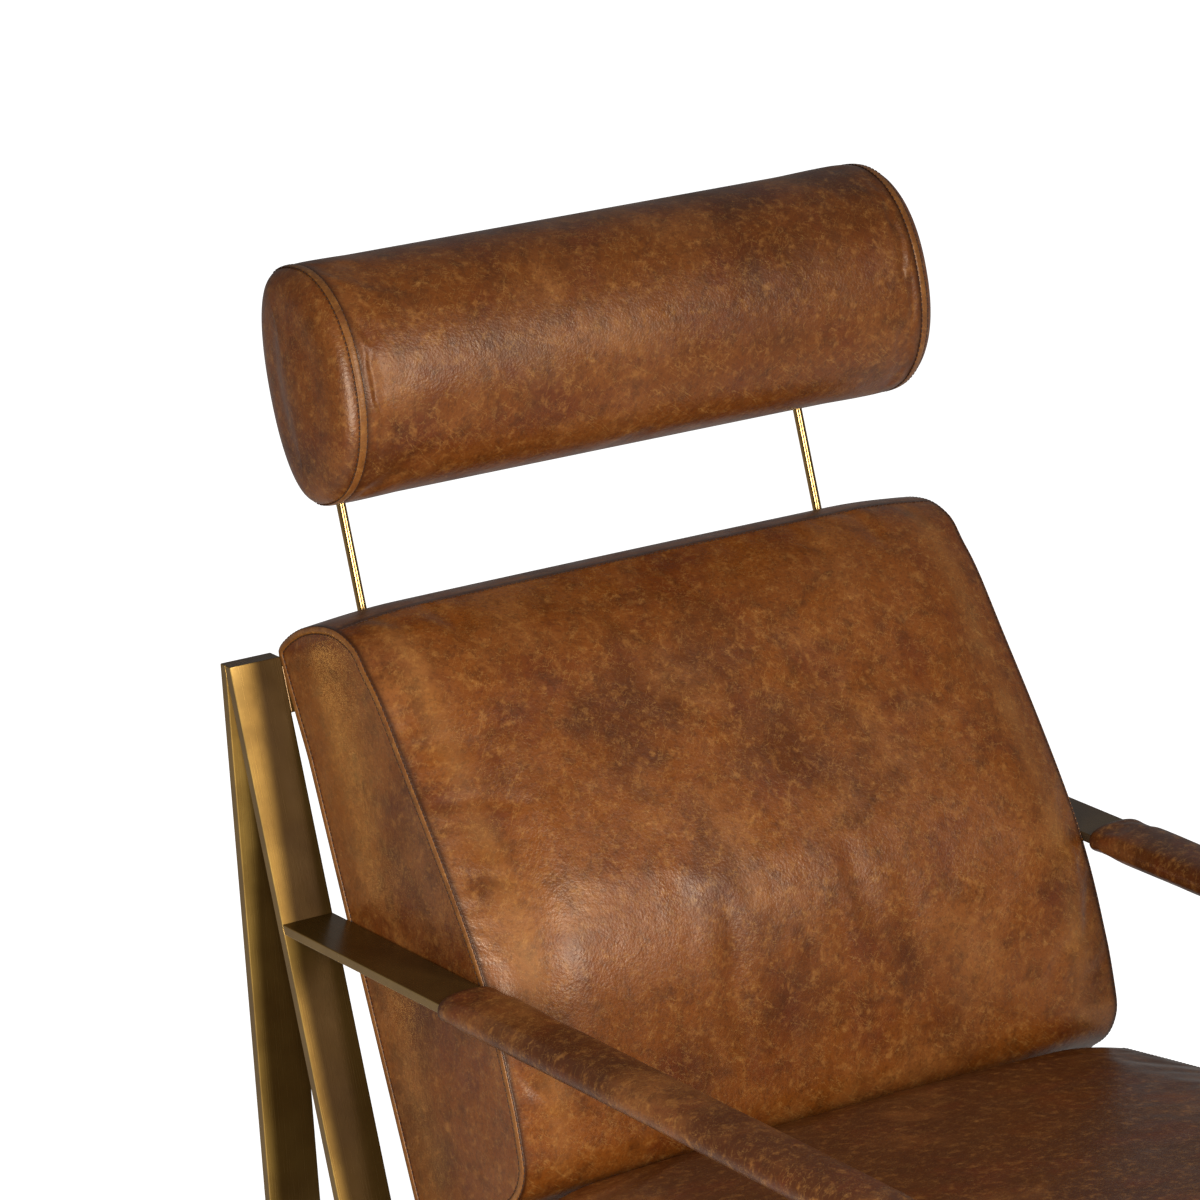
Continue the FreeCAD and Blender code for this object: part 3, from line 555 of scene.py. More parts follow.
def bowed_polygon(corners: np.ndarray) -> tuple[np.ndarray, np.ndarray, np.ndarray]:
    """Polygon whose sides bow outwards as parabolas.

    A side from a to b is a + t (b - a) + 4 t (1 - t) bow n, with n its outward normal.

    Args:
        corners: Rows of forward, height, bow of the side that follows, crown at the corner.

    Returns:
        Points, crown at each point, and how far along the line each corner is.
    """
    t = np.linspace(0.0, 1.0, 48, endpoint=False)
    start, following = corners, np.roll(corners, -1, axis=0)
    side = following[:, :2] - start[:, :2]
    out = np.stack([-side[:, 1], side[:, 0]], axis=-1) / np.linalg.norm(side, axis=1, keepdims=True)
    bow = start[:, 2, None] * 4.0 * t * (1.0 - t)
    points = start[:, None, :2] + side[:, None] * t[None, :, None] + out[:, None] * bow[..., None]
    crown = start[:, 3, None] * (1.0 - t) + following[:, 3, None] * t
    flat = points.reshape(-1, 2)
    steps = np.hypot(*np.diff(np.vstack([flat, flat[:1]]), axis=0).T)
    run = np.concatenate([[0.0], np.cumsum(steps)])[:-1]
    return flat, crown.reshape(-1), run[::len(t)]


def superellipse(steps: int, tall: float, deep: tuple[float, float],
                 power: float) -> tuple[np.ndarray, np.ndarray]:
    """Oval of a given fullness, clockwise from the top.

    Up is tall |cos|^(2/p) and out is deep |sin|^(2/p), each with its sign.

    Args:
        steps: Number of points.
        tall: Half its height.
        deep: How far it reaches on the side where out is positive, and on the other side.
        power: The fullness p; 2 is an ellipse.

    Returns:
        Up and out at each point.
    """
    turn = np.linspace(0.0, 2.0 * math.pi, steps, endpoint=False)
    cos, sin = np.cos(turn), np.sin(turn)
    reach = np.where(sin > 0.0, deep[0], deep[1])
    up, out = (size * np.sign(wave) * np.abs(wave) ** (2.0 / power)
               for size, wave in ((tall, cos), (reach, sin)))
    return up, out


def wavering(run: np.ndarray, length: float, sizes: tuple[float, ...], seed: int) -> np.ndarray:
    """Irregular wave along a closed seam: sines of several lengths, each a whole number per lap.

    Args:
        run: Places along the seam in millimetres.
        length: Length of the seam.
        sizes: Wave lengths in millimetres.
        seed: Seed of the waves' phases.

    Returns:
        The wave, about -1 to 1, swelling and fading along the seam.
    """
    phase = np.random.default_rng(seed).uniform(0.0, 2.0 * math.pi, (len(sizes), 2))
    turns = np.round(length / np.array(sizes))[:, None]
    angle = 2.0 * math.pi * run[None] / length
    swell = 0.5 + 0.5 * np.sin(angle * np.round(turns / 6.0) + phase[:, 1:])
    return (np.sin(angle * turns + phase[:, :1]) * swell).sum(axis=0) / math.sqrt(len(sizes))


def side_place(across: np.ndarray, forward: np.ndarray, height: np.ndarray) -> np.ndarray:
    """Chair points in metres from millimetres: x across, y back from the datum, z the height."""
    across, forward, height = np.broadcast_arrays(across, forward, height)
    return np.stack([across * MM, DATUM_Y - forward * MM, height * MM], axis=-1)


def new_piece(name: str, points: np.ndarray, faces: list[list[int]], finish: Finish,
              body: Body) -> bpy.types.Object:
    """Put points and faces into a smooth mesh at the origin, faces outwards, riding on a body.

    The enclosed volume is the sum of a . (b x c) over the faces' fan triangles; where it comes out
    negative the faces are turned.

    Args:
        name: Name of the piece.
        points: Points in metres.
        faces: Point numbers of each face.
        finish: Its surface.
        body: The body that carries it.

    Returns:
        The new object.
    """
    mesh = bpy.data.meshes.new(name)
    mesh.from_pydata(points.reshape(-1, 3).tolist(), [], faces)
    mesh.calc_loop_triangles()
    corners = np.empty(len(mesh.loop_triangles) * 3, np.int32)
    mesh.loop_triangles.foreach_get("vertices", corners)
    a, b, c = np.moveaxis(points.reshape(-1, 3)[corners.reshape(-1, 3)], 1, 0)
    if np.einsum("ij,ij->", a, np.cross(b, c)) < 0.0:
        mesh.flip_normals()
    mesh.shade_smooth()
    mesh.materials.append(finish.material())
    piece = bpy.data.objects.new(name, mesh)
    bpy.context.scene.collection.objects.link(piece)
    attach(piece, body.value)
    LOG.info("%s: %d faces", name, len(faces))
    return piece


def lattice(rows: int, columns: int, close_rows: bool = False) -> np.ndarray:
    """Quads of a grid whose columns close on themselves, and whose rows do where asked.

    Args:
        rows: Number of rows.
        columns: Points in a row.
        close_rows: Whether the last row joins the first.

    Returns:
        Point numbers, four to a quad.
    """
    row = np.arange(rows if close_rows else rows - 1)[:, None]
    column = np.arange(columns)[None]
    following, beside = (row + 1) % rows, (column + 1) % columns
    quads = [row * columns + column, row * columns + beside,
             following * columns + beside, following * columns + column]
    return np.stack(quads, axis=-1).reshape(-1, 4)


def set_share(piece: bpy.types.Object, name: str, values: np.ndarray) -> None:
    """Keep one number per point on a mesh, for its material to read."""
    held = piece.data.attributes.new(name, "FLOAT", "POINT")
    held.data.foreach_set("value", values.astype(np.float32).ravel())


def settle(piece: bpy.types.Object, held: np.ndarray, cap_mm: float) -> None:
    """Swell a stuffed cover with cloth under pressure and keep the result in its mesh.

    Held points stay. Each other point moves by what the cloth gives, its length cut off at cap_mm.

    Args:
        piece: The cover, closed, faces outwards.
        held: True at each point that the seams or the board hold.
        cap_mm: Most that a point may move.
    """
    mesh = piece.data
    rest = np.empty(len(mesh.vertices) * 3, np.float32)
    mesh.vertices.foreach_get("co", rest)
    group = piece.vertex_groups.new(name="held")
    group.add(np.flatnonzero(held).tolist(), 1.0, "REPLACE")
    cloth = piece.modifiers.new("swell", "CLOTH")
    cloth.settings.quality = 5
    cloth.settings.mass = 0.4
    cloth.settings.tension_stiffness = 25.0
    cloth.settings.compression_stiffness = 25.0
    cloth.settings.shear_stiffness = 15.0
    cloth.settings.bending_stiffness = 1.5
    cloth.settings.use_pressure = True
    cloth.settings.uniform_pressure_force = 4.0
    cloth.settings.shrink_min = -0.005
    cloth.settings.effector_weights.gravity = 0.0
    cloth.settings.vertex_group_mass = group.name
    scene = bpy.context.scene
    for step in range(1, 21):
        scene.frame_set(step)
    evaluated = piece.evaluated_get(bpy.context.evaluated_depsgraph_get())
    moved = np.empty_like(rest)
    evaluated.data.vertices.foreach_get("co", moved)
    piece.modifiers.remove(cloth)
    piece.vertex_groups.remove(group)
    scene.frame_set(1)
    change = (moved - rest).reshape(-1, 3)
    reach = np.maximum(np.linalg.norm(change, axis=1, keepdims=True), 1e-9)
    LOG.info("%s: cloth moves points by %.1f mm on average, %.1f mm at most", piece.name,
             float(reach.mean() / MM), float(reach.max() / MM))
    change *= np.minimum(1.0, cap_mm * MM / reach)
    mesh.vertices.foreach_set("co", (rest.reshape(-1, 3) + change).ravel())
    mesh.update()


def subdivide(piece: bpy.types.Object, levels: int = 1) -> None:
    """Smooth a piece with a subdivision surface of the same level in view and render."""
    modifier = piece.modifiers.new("smooth", "SUBSURF")
    modifier.levels = modifier.render_levels = levels


@dataclass
class SewnForm:
    """A stuffed leather cover: one panel wrapped round an outline, and a panel sewn in at each end.

    The surface is a stack of rows, each a copy of the outline: from the middle of one end panel
    outwards, across the wrapped panel, and in to the middle of the other end panel.
    """

    name: str
    body: Body
    finish: Finish
    replaced: tuple[str, ...]
    half: float                     # middle of the width to the sewn edge
    columns: int                    # points round the outline
    wrap_rows: int
    swell_cap: float                # most that the cloth may move, mm
    fill: float
    pucker: float = 0.9             # height of the gathers at the sewn edges
    pucker_reach: float = 16.0
    end_inset: float = 26.0         # rounding at the rim of an end panel
    end_rise: float = 1.5           # how far an end panel stands out
    end_power: float = 2.4
    end_dome: float = 0.0           # further rise towards the middle of an end panel
    band_half: float = 3.0          # half-width of the turned band beside the seam
    band_rise: float = 1.3
    stitch_pitch: float = 4.6
    stitch_rise: float = 0.35       # stitches over the leather
    gather_sizes: tuple[float, ...] = (12.0, 17.0, 27.0)
    seam_dark: float = 0.88
    seam_half: float = 2.8          # width of the darkening beside a sewn edge
    panel_blur: float = 5.0         # rounding of the inner rings of an end panel, in points
    rim_rows: int = 8
    panel_rings: tuple[float, ...] = (0.82, 0.62, 0.42, 0.24, 0.10)

    def outline(self) -> Loop:
        """The outline of the sewn edge; each form has its own."""
        raise NotImplementedError

    def crown_share(self, edge: np.ndarray) -> np.ndarray:
        """Share of the crown at a distance from the sewn edge; each form has its own."""
        raise NotImplementedError

    def place(self, along: np.ndarray, plane: np.ndarray) -> np.ndarray:
        """Chair points from a distance along the form and a point of its outline's plane."""
        return side_place(along, plane[..., 0], plane[..., 1])

    def wear_and_highlight(self, edge: np.ndarray, loop: Loop) -> np.ndarray:
        """Share of pale wear and painted highlight on each point of the wrapped panel: none unless a form
        says so.
        """
        return np.zeros((len(edge), len(loop.points)))

    def held(self, edge: np.ndarray, loop: Loop) -> np.ndarray:
        """Points of the wrapped panel that the cloth leaves in place: the sewn edges."""
        return np.repeat((edge < 1.0)[:, None], len(loop.points), axis=1)

    def end_along(self, inset: np.ndarray) -> np.ndarray:
        """How far out an end panel is at a distance inside its edge.

        It is a quarter of a superellipse: ((out - half) / rise)^p + (1 - inset / rim)^p = 1.

        Args:
            inset: Distance inside the sewn edge in millimetres.

        Returns:
            Distance from the middle of the form.
        """
        left = np.clip(1.0 - np.asarray(inset, float) / self.end_inset, 0.0, 1.0)
        return self.half + self.end_rise * (1.0 - left ** self.end_power) ** (1.0 / self.end_power)

    def reach(self, inset: np.ndarray) -> np.ndarray:
        """Distance from the sewn edge over an end panel: the inset itself where the rim is shallow."""
        return np.asarray(inset, float)

    def build(self) -> bpy.types.Object:
        """Make the cover, its bands and its stitches.

        Returns:
            The padded piece.
        """
        loop = self.outline()
        turn = np.linspace(0.0, math.pi / 2, self.rim_rows)[1:]
        rim = self.end_inset * (1.0 - np.cos(turn) ** (2.0 / self.end_power))
        shrink = np.array(self.panel_rings)
        inset_out = np.concatenate([rim, np.full(len(shrink), self.end_inset)])
        shrink_out = np.concatenate([np.ones(len(rim)), shrink])
        even = np.linspace(0.0, 1.0, self.wrap_rows)
        across = self.half * (0.4 * (2.0 * even - 1.0) - 0.6 * np.cos(math.pi * even))
        edge = self.half - np.abs(across)
        lead = len(inset_out)
        blank = np.zeros(lead)
        far = self.end_along(inset_out) + self.end_dome * (1.0 - shrink_out ** 2)
        along = np.concatenate([-far[::-1], across, far])
        inset = np.concatenate([inset_out[::-1], np.zeros(self.wrap_rows), inset_out])
        scale = np.concatenate([shrink_out[::-1], np.ones(self.wrap_rows), shrink_out])
        share = np.concatenate([blank, self.crown_share(edge), blank])
        near = np.exp(-edge / self.pucker_reach) * (1.0 - np.exp(-edge / 3.0))
        gather = np.concatenate([blank, near, blank])
        waves = [wavering(loop.run, loop.length, self.gather_sizes, seed) for seed in (5, 11)]
        wave = np.where((along < 0.0)[:, None], waves[0][None], waves[1][None])
        out = (share[:, None] * loop.crown[None] + self.pucker * gather[:, None] * wave
               - inset[:, None])
        plane = loop.points[None] + loop.normals[None] * out[..., None]
        middle = loop.points.mean(axis=0)
        inner = scale < 1.0
        bell = np.exp(-2.0 * (math.pi * np.fft.fftfreq(self.columns) * self.panel_blur) ** 2)
        plane[inner] = np.fft.ifft(np.fft.fft(plane[inner], axis=1) * bell[None, :, None], axis=1).real
        plane = middle + (plane - middle) * scale[:, None, None]
        surface = self.place(along[:, None], plane)
        poles = np.stack([surface[0].mean(axis=0), surface[-1].mean(axis=0)])
        rows, columns = surface.shape[:2]
        points = np.vstack([surface.reshape(-1, 3), poles])
        beside = (np.arange(columns) + 1) % columns
        first = np.stack([np.full(columns, rows * columns), beside, np.arange(columns)], axis=-1)
        last = np.stack([np.full(columns, rows * columns + 1), np.arange(columns), beside], axis=-1)
        last[:, 1:] += (rows - 1) * columns
        faces = lattice(rows, columns).tolist() + first.tolist() + last.tolist()
        piece = new_piece(self.name, points, faces, self.finish, self.body)
        away = np.concatenate([self.reach(inset_out)[::-1], edge, self.reach(inset_out)])
        seam = np.repeat(self.seam_dark * np.exp(-(away / self.seam_half) ** 2)[:, None], columns, axis=1)
        wear_highlight = np.zeros((rows, columns))
        wear_highlight[lead:lead + self.wrap_rows] = self.wear_and_highlight(edge, loop)
        set_share(piece, "seam", np.append(self.seam_tint(seam, loop), [0.0, 0.0]))
        set_share(piece, "wear_and_highlight", np.append(wear_highlight, [0.0, 0.0]))
        held = np.ones((rows, columns), bool)
        held[lead:lead + self.wrap_rows] = self.held(edge, loop)
        settle(piece, np.append(held, [True, True]), self.swell_cap)
        subdivide(piece)
        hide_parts(*self.replaced)
        final = np.empty(len(points) * 3, np.float32)
        piece.data.vertices.foreach_get("co", final)
        self.sew(loop, final.reshape(-1, 3)[:rows * columns].reshape(rows, columns, 3), lead)
        return piece

    def seam_tint(self, seam: np.ndarray, loop: Loop) -> np.ndarray:
        """Share of dark seam on every point: the sewn edges, and what a form adds."""
        return seam

    def edge_path(self, loop: Loop, reach: float, rise: float, end: int) -> tuple[np.ndarray, ...]:
        """A line round an end panel, with directions across the panel and out of it.

        Args:
            loop: The outline.
            reach: Distance from the sewn edge, over the panel.
            rise: Height over the panel.
            end: -1 or 1 for the end of the form.

        Returns:
            Points, directions across the panel, directions out of it.
        """
        fine = 40.0 * np.linspace(0.0, 1.0, 4000) ** 3
        inset = float(np.interp(reach, self.reach(fine), fine))
        step = min(0.2, 0.5 * inset)
        slope = float(self.end_along(inset + step) - self.end_along(inset - step)) / (2.0 * step)
        size = math.hypot(slope, 1.0)

        def at(shift: float, lift: float) -> np.ndarray:
            """Points moved across the panel and out of it."""
            plane = loop.points - loop.normals * (inset + (shift - lift * slope) / size)
            along = float(self.end_along(inset)) + (shift * slope + lift) / size
            return self.place(np.array(end * along), plane)

        base = at(0.0, rise)
        across = at(1.0, rise) - base
        out = at(0.0, rise + 1.0) - base
        return base, across / MM, out / MM

    def sew(self, loop: Loop, surface: np.ndarray, lead: int) -> None:
        """Lay a turned band and two rows of stitches round each end panel.

        Args:
            loop: The outline.
            surface: Points of the cover as it has settled, row by row; not used here.
            lead: Number of rows before the wrapped panel starts; not used here.
        """
        for end, side in ((-1, "left"), (1, "right")):
            path, across, out = self.edge_path(loop, self.band_half + 0.4, 0.1, end)
            turn = np.linspace(0.0, 2.0 * math.pi, 10, endpoint=False)
            section = (across[:, None] * (np.cos(turn) * self.band_half)[None, :, None]
                       + out[:, None] * (np.sin(turn) * self.band_rise)[None, :, None])
            points = path[:, None] + section * MM
            piece = new_piece(f"{self.name}_band_{side}", points,
                              lattice(len(path), len(turn), close_rows=True).tolist(),
                              BAND_LEATHER, self.body)
            # A pale share over the whole band: painted highlight of its turned edge.
            set_share(piece, "wear_and_highlight", np.full(points.shape[:2], 0.10))
            rows = [self.edge_path(loop, reach, self.stitch_rise, end)
                    for reach in (0.7, 2.0 * self.band_half + 0.9)]
            stitch_rows(f"{self.name}_stitches_{side}", rows, self.stitch_pitch, self.body, True)


def stitch_rows(name: str, rows: list[tuple[np.ndarray, ...]], pitch_mm: float, body: Body,
                closed: bool) -> bpy.types.Object:
    """Lay rows of thread stitches: short spindles set end to end along their lines.

    A spindle is rings of radius (1 - a^4)^(1/2) along its length a from -1 to 1, closed by a point
    at each end, placed at even steps along the line.

    Args:
        name: Name of the piece.
        rows: For each line its points, directions across it and directions out of the leather.
        pitch_mm: Length of a stitch with its gap.
        body: The body that carries it.
        closed: Whether each line joins its own start.

    Returns:
        The stitches as one piece.
    """
    length, wide, high, gap = 0.5 * pitch_mm * MM, 0.55 * MM, 0.45 * MM, 0.80
    stations = np.array([-0.75, 0.0, 0.75])
    turn = np.linspace(0.0, 2.0 * math.pi, 6, endpoint=False)
    radius = np.sqrt(1.0 - stations ** 4)
    ring_along = np.repeat(stations, len(turn))
    ring_across = np.outer(radius, np.cos(turn)).ravel()
    ring_out = np.outer(radius, np.sin(turn)).ravel()
    local = np.stack([np.append(ring_along, [-1.0, 1.0]) * length * gap,
                      np.append(ring_across, [0.0, 0.0]) * wide,
                      np.append(ring_out, [0.0, 0.0]) * high], axis=-1)
    beside = (np.arange(6) + 1) % 6
    count = len(local)
    tips = [np.stack([np.full(6, count - 2), beside, np.arange(6)], axis=-1),
            np.stack([np.full(6, count - 1), np.arange(6) + 12, beside + 12], axis=-1)]
    placed, quads, triangles, base = [], [], [], 0
    for path, across, out in rows:
        line = np.vstack([path, path[:1]]) if closed else path
        frames = [np.vstack([v, v[:1]]) if closed else v for v in (across, out)]
        run = np.concatenate([[0.0], np.cumsum(np.linalg.norm(np.diff(line, axis=0), axis=1))])
        number = max(2, int(run[-1] / (pitch_mm * MM)))
        at = (np.arange(number) + 0.5) * run[-1] / number
        centre, ahead, behind = (np.stack([np.interp(np.clip(at + shift, 0.0, run[-1]), run, line[:, k])
                                           for k in range(3)], axis=-1)
                                 for shift in (0.0, 0.5 * length, -0.5 * length))
        tangent = ahead - behind
        tangent /= np.linalg.norm(tangent, axis=1, keepdims=True)
        wide_way, high_way = (np.stack([np.interp(at, run, way[:, k]) for k in range(3)], axis=-1)
                              for way in frames)
        axes = np.stack([tangent, wide_way, high_way], axis=1)
        placed.append(centre[:, None] + np.einsum("pk,nkc->npc", local, axes))
        shift = base + np.arange(number)[:, None, None] * count
        quads.append((lattice(3, 6)[None] + shift).reshape(-1, 4))
        triangles.append((np.vstack(tips)[None] + shift).reshape(-1, 3))
        base += number * count
    faces = np.vstack(quads).tolist() + np.vstack(triangles).tolist()
    points = np.vstack([block.reshape(-1, 3) for block in placed])
    return new_piece(name, points, faces, SEAM_THREAD, body)


@dataclass
class BackCushion(SewnForm):
    """The reclined back: a thick wedge, full at the lumbar, sewn along its side and top edges."""

    # forward, height, bow of the side that follows, crown at mid-width
    corners: tuple[tuple[float, float, float, float], ...] = (
        (-8.0, 743.0, 10.0, 2.0),       # top rear
        (77.0, 782.0, 6.0, 8.0),        # top front, the top seam
        (128.0, 756.0, 4.0, 15.0),      # nose
        (156.0, 717.0, 3.0, 19.0),      # shoulder
        (287.0, 541.0, 5.0, 25.0),      # knee
        (341.5, 395.0, 7.0, 1.0),       # low front, at the crease
        (312.0, 350.0, 0.0, 0.0),       # toe
        (213.0, 255.0, 0.0, 0.0),       # low rear
        (36.0, 661.0, 0.0, 0.0),        # where the rear turns back to meet the top rail
    )
    rounding: float = 5.0
    soft: float = 32.0                  # rounding of the front from the nose to the knee
    soft_corners: tuple[int, int] = (2, 4)
    soft_lead: tuple[float, float] = (30.0, 110.0)
    ridge: float = 84.0                 # sewn edge to where the front is full
    ridge_share: float = 0.86
    top_seam_corner: int = 1
    front_corners: tuple[int, int] = (1, 5)

    def outline(self) -> Loop:
        """Rounded outline of the side panel, with more points at the top seam.

        Returns:
            The outline.
        """
        points, crown, marks = bowed_polygon(np.array(self.corners))
        self.seam_run = float(marks[self.top_seam_corner])
        self.front_run = tuple(float(marks[k]) for k in self.front_corners)
        first, last = (float(marks[k]) for k in self.soft_corners)
        soft = (first - self.soft_lead[0], last + self.soft_lead[1], self.soft)
        return sampled_loop(points, crown, self.columns, self.rounding, (self.seam_run, 14.0), soft)

    def crown_share(self, edge: np.ndarray) -> np.ndarray:
        """A quarter sine up to the ridge beside the seam, then a shallow parabola to the middle.

        Args:
            edge: Distance from the sewn edge in millimetres.

        Returns:
            Share of the crown.
        """
        rise = np.sin(0.5 * math.pi * np.clip(edge / self.ridge, 0.0, 1.0))
        off = 1.0 - edge / self.half
        return self.ridge_share * rise + (1.0 - self.ridge_share) * (1.0 - off ** 2)

    def on_front(self, loop: Loop, lead_in: float) -> np.ndarray:
        """1 on the front panel, fading to 0 over lead_in beyond its ends."""
        start, stop = self.front_run
        off = np.maximum(start - loop.run, loop.run - stop)
        return np.clip(1.0 - off / lead_in, 0.0, 1.0)

    def wear_and_highlight(self, edge: np.ndarray, loop: Loop) -> np.ndarray:
        """Pale wear along the ridge beside the seam, with a painted highlight: a bell of its distance from
        the edge.
        """
        bell = np.exp(-((edge - 36.0) / 12.0) ** 2)
        patch = 0.6 + 0.4 * wavering(loop.run, loop.length, (60.0, 95.0), 3)
        return 0.22 * bell[:, None] * (np.clip(patch, 0.0, 1.0) * self.on_front(loop, 20.0))[None]

    def held(self, edge: np.ndarray, loop: Loop) -> np.ndarray:
        """Hold the sewn edges, the top panel and all that rests on the board or the seat."""
        rests = (loop.run > self.front_run[1] - 30.0) | (loop.run < self.seam_run + 2.5)
        return (edge < 1.0)[:, None] | rests[None]

    def seam_tint(self, seam: np.ndarray, loop: Loop) -> np.ndarray:
        """Add the top seam to the sewn edges: a bell of the distance from it."""
        top = 0.85 * np.exp(-((loop.run - self.seam_run) / 2.6) ** 2)
        lead = (len(seam) - self.wrap_rows) // 2
        seam[lead:lead + self.wrap_rows] = np.maximum(seam[lead:lead + self.wrap_rows], top[None])
        return seam

    def sew(self, loop: Loop, surface: np.ndarray, lead: int) -> None:
        """Sew the ends, then stitch along the top seam just in front of it.

        Args:
            loop: The outline.
            surface: Points of the cover as it has settled.
            lead: Number of rows before the wrapped panel starts.
        """
        super().sew(loop, surface, lead)
        column = int(np.argmin(np.abs(loop.run - self.seam_run - 4.0)))
        wrapped = surface[lead + 1:lead + self.wrap_rows - 1]
        path = wrapped[:, column]
        along = wrapped[:, column + 1] - wrapped[:, column - 1]
        along /= np.linalg.norm(along, axis=1, keepdims=True)
        run = np.gradient(path, axis=0)
        out = np.cross(run, along)
        out /= np.linalg.norm(out, axis=1, keepdims=True)
        out *= np.sign(out[:, 2:3])
        stitch_rows(f"{self.name}_stitches_top", [(path + out * 0.2 * MM, along, out)],
                    self.stitch_pitch, self.body, False)


@dataclass
class SeatCushion(SewnForm):
    """The seat: a box cushion that tilts back, crowned on top, with a rounded front edge."""

    crease: float = 342.5
    tilt: float = math.radians(6.6)
    base: float = 236.3
    thick: float = 122.0
    length: float = 520.0
    nose: float = 36.0
    crown: float = 20.0

    def outline(self) -> Loop:
        """Rounded outline of the side panel in the tilted frame of the deck.

        Returns:
            The outline.
        """
        lean = math.tan(self.tilt)
        local = np.array([
            (self.thick * lean, self.thick, 3.0, 0.82 * self.crown),
            (self.length - self.nose, self.thick, 5.0, self.crown),
            (self.length - 10.0, self.thick - 11.0, 2.0, 0.7 * self.crown),
            (self.length, self.thick - self.nose, 3.0, 0.3 * self.crown),
            (self.length - 4.0, 0.0, 0.0, 0.0),
            (0.0, 0.0, 0.0, 0.0),
        ])
        cos, sin = math.cos(self.tilt), math.sin(self.tilt)
        corners = local.copy()
        corners[:, 0] = self.crease + local[:, 0] * cos - local[:, 1] * sin
        corners[:, 1] = self.base + local[:, 0] * sin + local[:, 1] * cos
        points, crown, marks = bowed_polygon(corners)
        self.loose_run = (float(marks[0]) + 12.0, float(marks[4]) - 6.0)
        return sampled_loop(points, crown, self.columns, 6.0)

    def crown_share(self, edge: np.ndarray) -> np.ndarray:
        """A quarter sine near the sewn edge, then a parabola to the middle.

        Args:
            edge: Distance from the sewn edge in millimetres.

        Returns:
            Share of the crown.
        """
        rise = np.sin(0.5 * math.pi * np.clip(edge / 70.0, 0.0, 1.0))
        off = 1.0 - edge / self.half
        return 0.6 * rise + 0.4 * (1.0 - off ** 2)

    def held(self, edge: np.ndarray, loop: Loop) -> np.ndarray:
        """Hold the sewn edges, the bottom on the deck and the rear against the back."""
        loose = (loop.run > self.loose_run[0]) & (loop.run < self.loose_run[1])
        return (edge < 1.0)[:, None] | ~loose[None]


@dataclass
class Bolster(SewnForm):
    """The headrest: an oval bolster with domed end panels, leaning back on its rods."""

    forward: float = 9.7
    height: float = 969.2
    lean: float = math.radians(17.8)
    half_tall: float = 99.2
    half_front: float = 79.0
    half_back: float = 44.2
    power: float = 2.2
    crown: float = 1.5
    rounding: float = 4.0
    fills_over: float = 14.0            # distance from a seam over which the tube fills out

    def outline(self) -> Loop:
        """Leaning superellipse, deeper in front than behind.

        Returns:
            The outline.
        """
        up, out = superellipse(720, self.half_tall, (self.half_front, self.half_back), self.power)
        cos, sin = math.cos(self.lean), math.sin(self.lean)
        points = np.stack([self.forward + out * cos - up * sin, self.height + out * sin + up * cos], axis=-1)
        return sampled_loop(points, np.full(len(points), self.crown), self.columns, self.rounding)

    def reach(self, inset: np.ndarray) -> np.ndarray:
        """Distance from the sewn edge over the domed panel: the sum of short chords of its rim.

        Args:
            inset: Distance inside the sewn edge.

        Returns:
            Length over the panel from the edge to each inset.
        """
        turn = np.linspace(0.0, math.pi / 2, 2000)
        rim = self.end_inset * (1.0 - np.cos(turn) ** (2.0 / self.end_power))
        chords = np.hypot(np.diff(rim), np.diff(self.end_along(rim)))
        return np.interp(inset, rim, np.concatenate([[0.0], np.cumsum(chords)]))

    def crown_share(self, edge: np.ndarray) -> np.ndarray:
        """The tube fills out within a few centimetres of its seams."""
        return 1.0 - np.exp(-edge / self.fills_over)


@dataclass
class ArmPad(SewnForm):
    """A leather sleeve over foam round an arm bar, its ends turned in against the bar."""

    side: int = -1
    middle: float = 338.0
    height: float = 532.5
    start: float = 302.0
    half_wide: float = 29.2
    half_tall: float = 12.9
    power: float = 2.5
    crown: float = 0.6
    rounding: float = 1.2
    fills_over: float = 8.0             # distance from an end over which the sleeve fills out

    def outline(self) -> Loop:
        """Flat superellipse round the bar, wide side level.

        Returns:
            The outline, across and height, clockwise from the top.
        """
        up, out = superellipse(480, self.half_tall, (self.half_wide, self.half_wide), self.power)
        points = np.stack([self.side * self.middle + out, self.height + up], axis=-1)
        return sampled_loop(points, np.full(len(points), self.crown), self.columns, self.rounding)

    def crown_share(self, edge: np.ndarray) -> np.ndarray:
        """The sleeve fills out just inside its turned ends."""
        return 1.0 - np.exp(-edge / self.fills_over)

    def place(self, along: np.ndarray, plane: np.ndarray) -> np.ndarray:
        """Chair points with the form's length along the arm: forward is its middle plus along."""
        return side_place(plane[..., 0], self.start + self.half + along, plane[..., 1])

    def sew(self, loop: Loop, surface: np.ndarray, lead: int) -> None:
        """The turned ends carry no band; the sleeve's one seam lies under the arm.

        Args:
            loop: The outline.
            surface: Points of the cover as it has settled.
            lead: Number of rows before the wrapped panel starts.
        """
        low = int(np.argmin(loop.points[:, 1] + 0.02 * np.abs(loop.points[:, 0] - self.side * self.middle)))
        path = surface[lead + 1:lead + self.wrap_rows - 1, low]
        out = np.tile([0.0, 0.0, -1.0], (len(path), 1))
        across = np.tile([1.0, 0.0, 0.0], (len(path), 1))
        stitch_rows(f"{self.name}_stitches", [(path + out * 0.2 * MM, across, out)], self.stitch_pitch,
                    self.body, False)


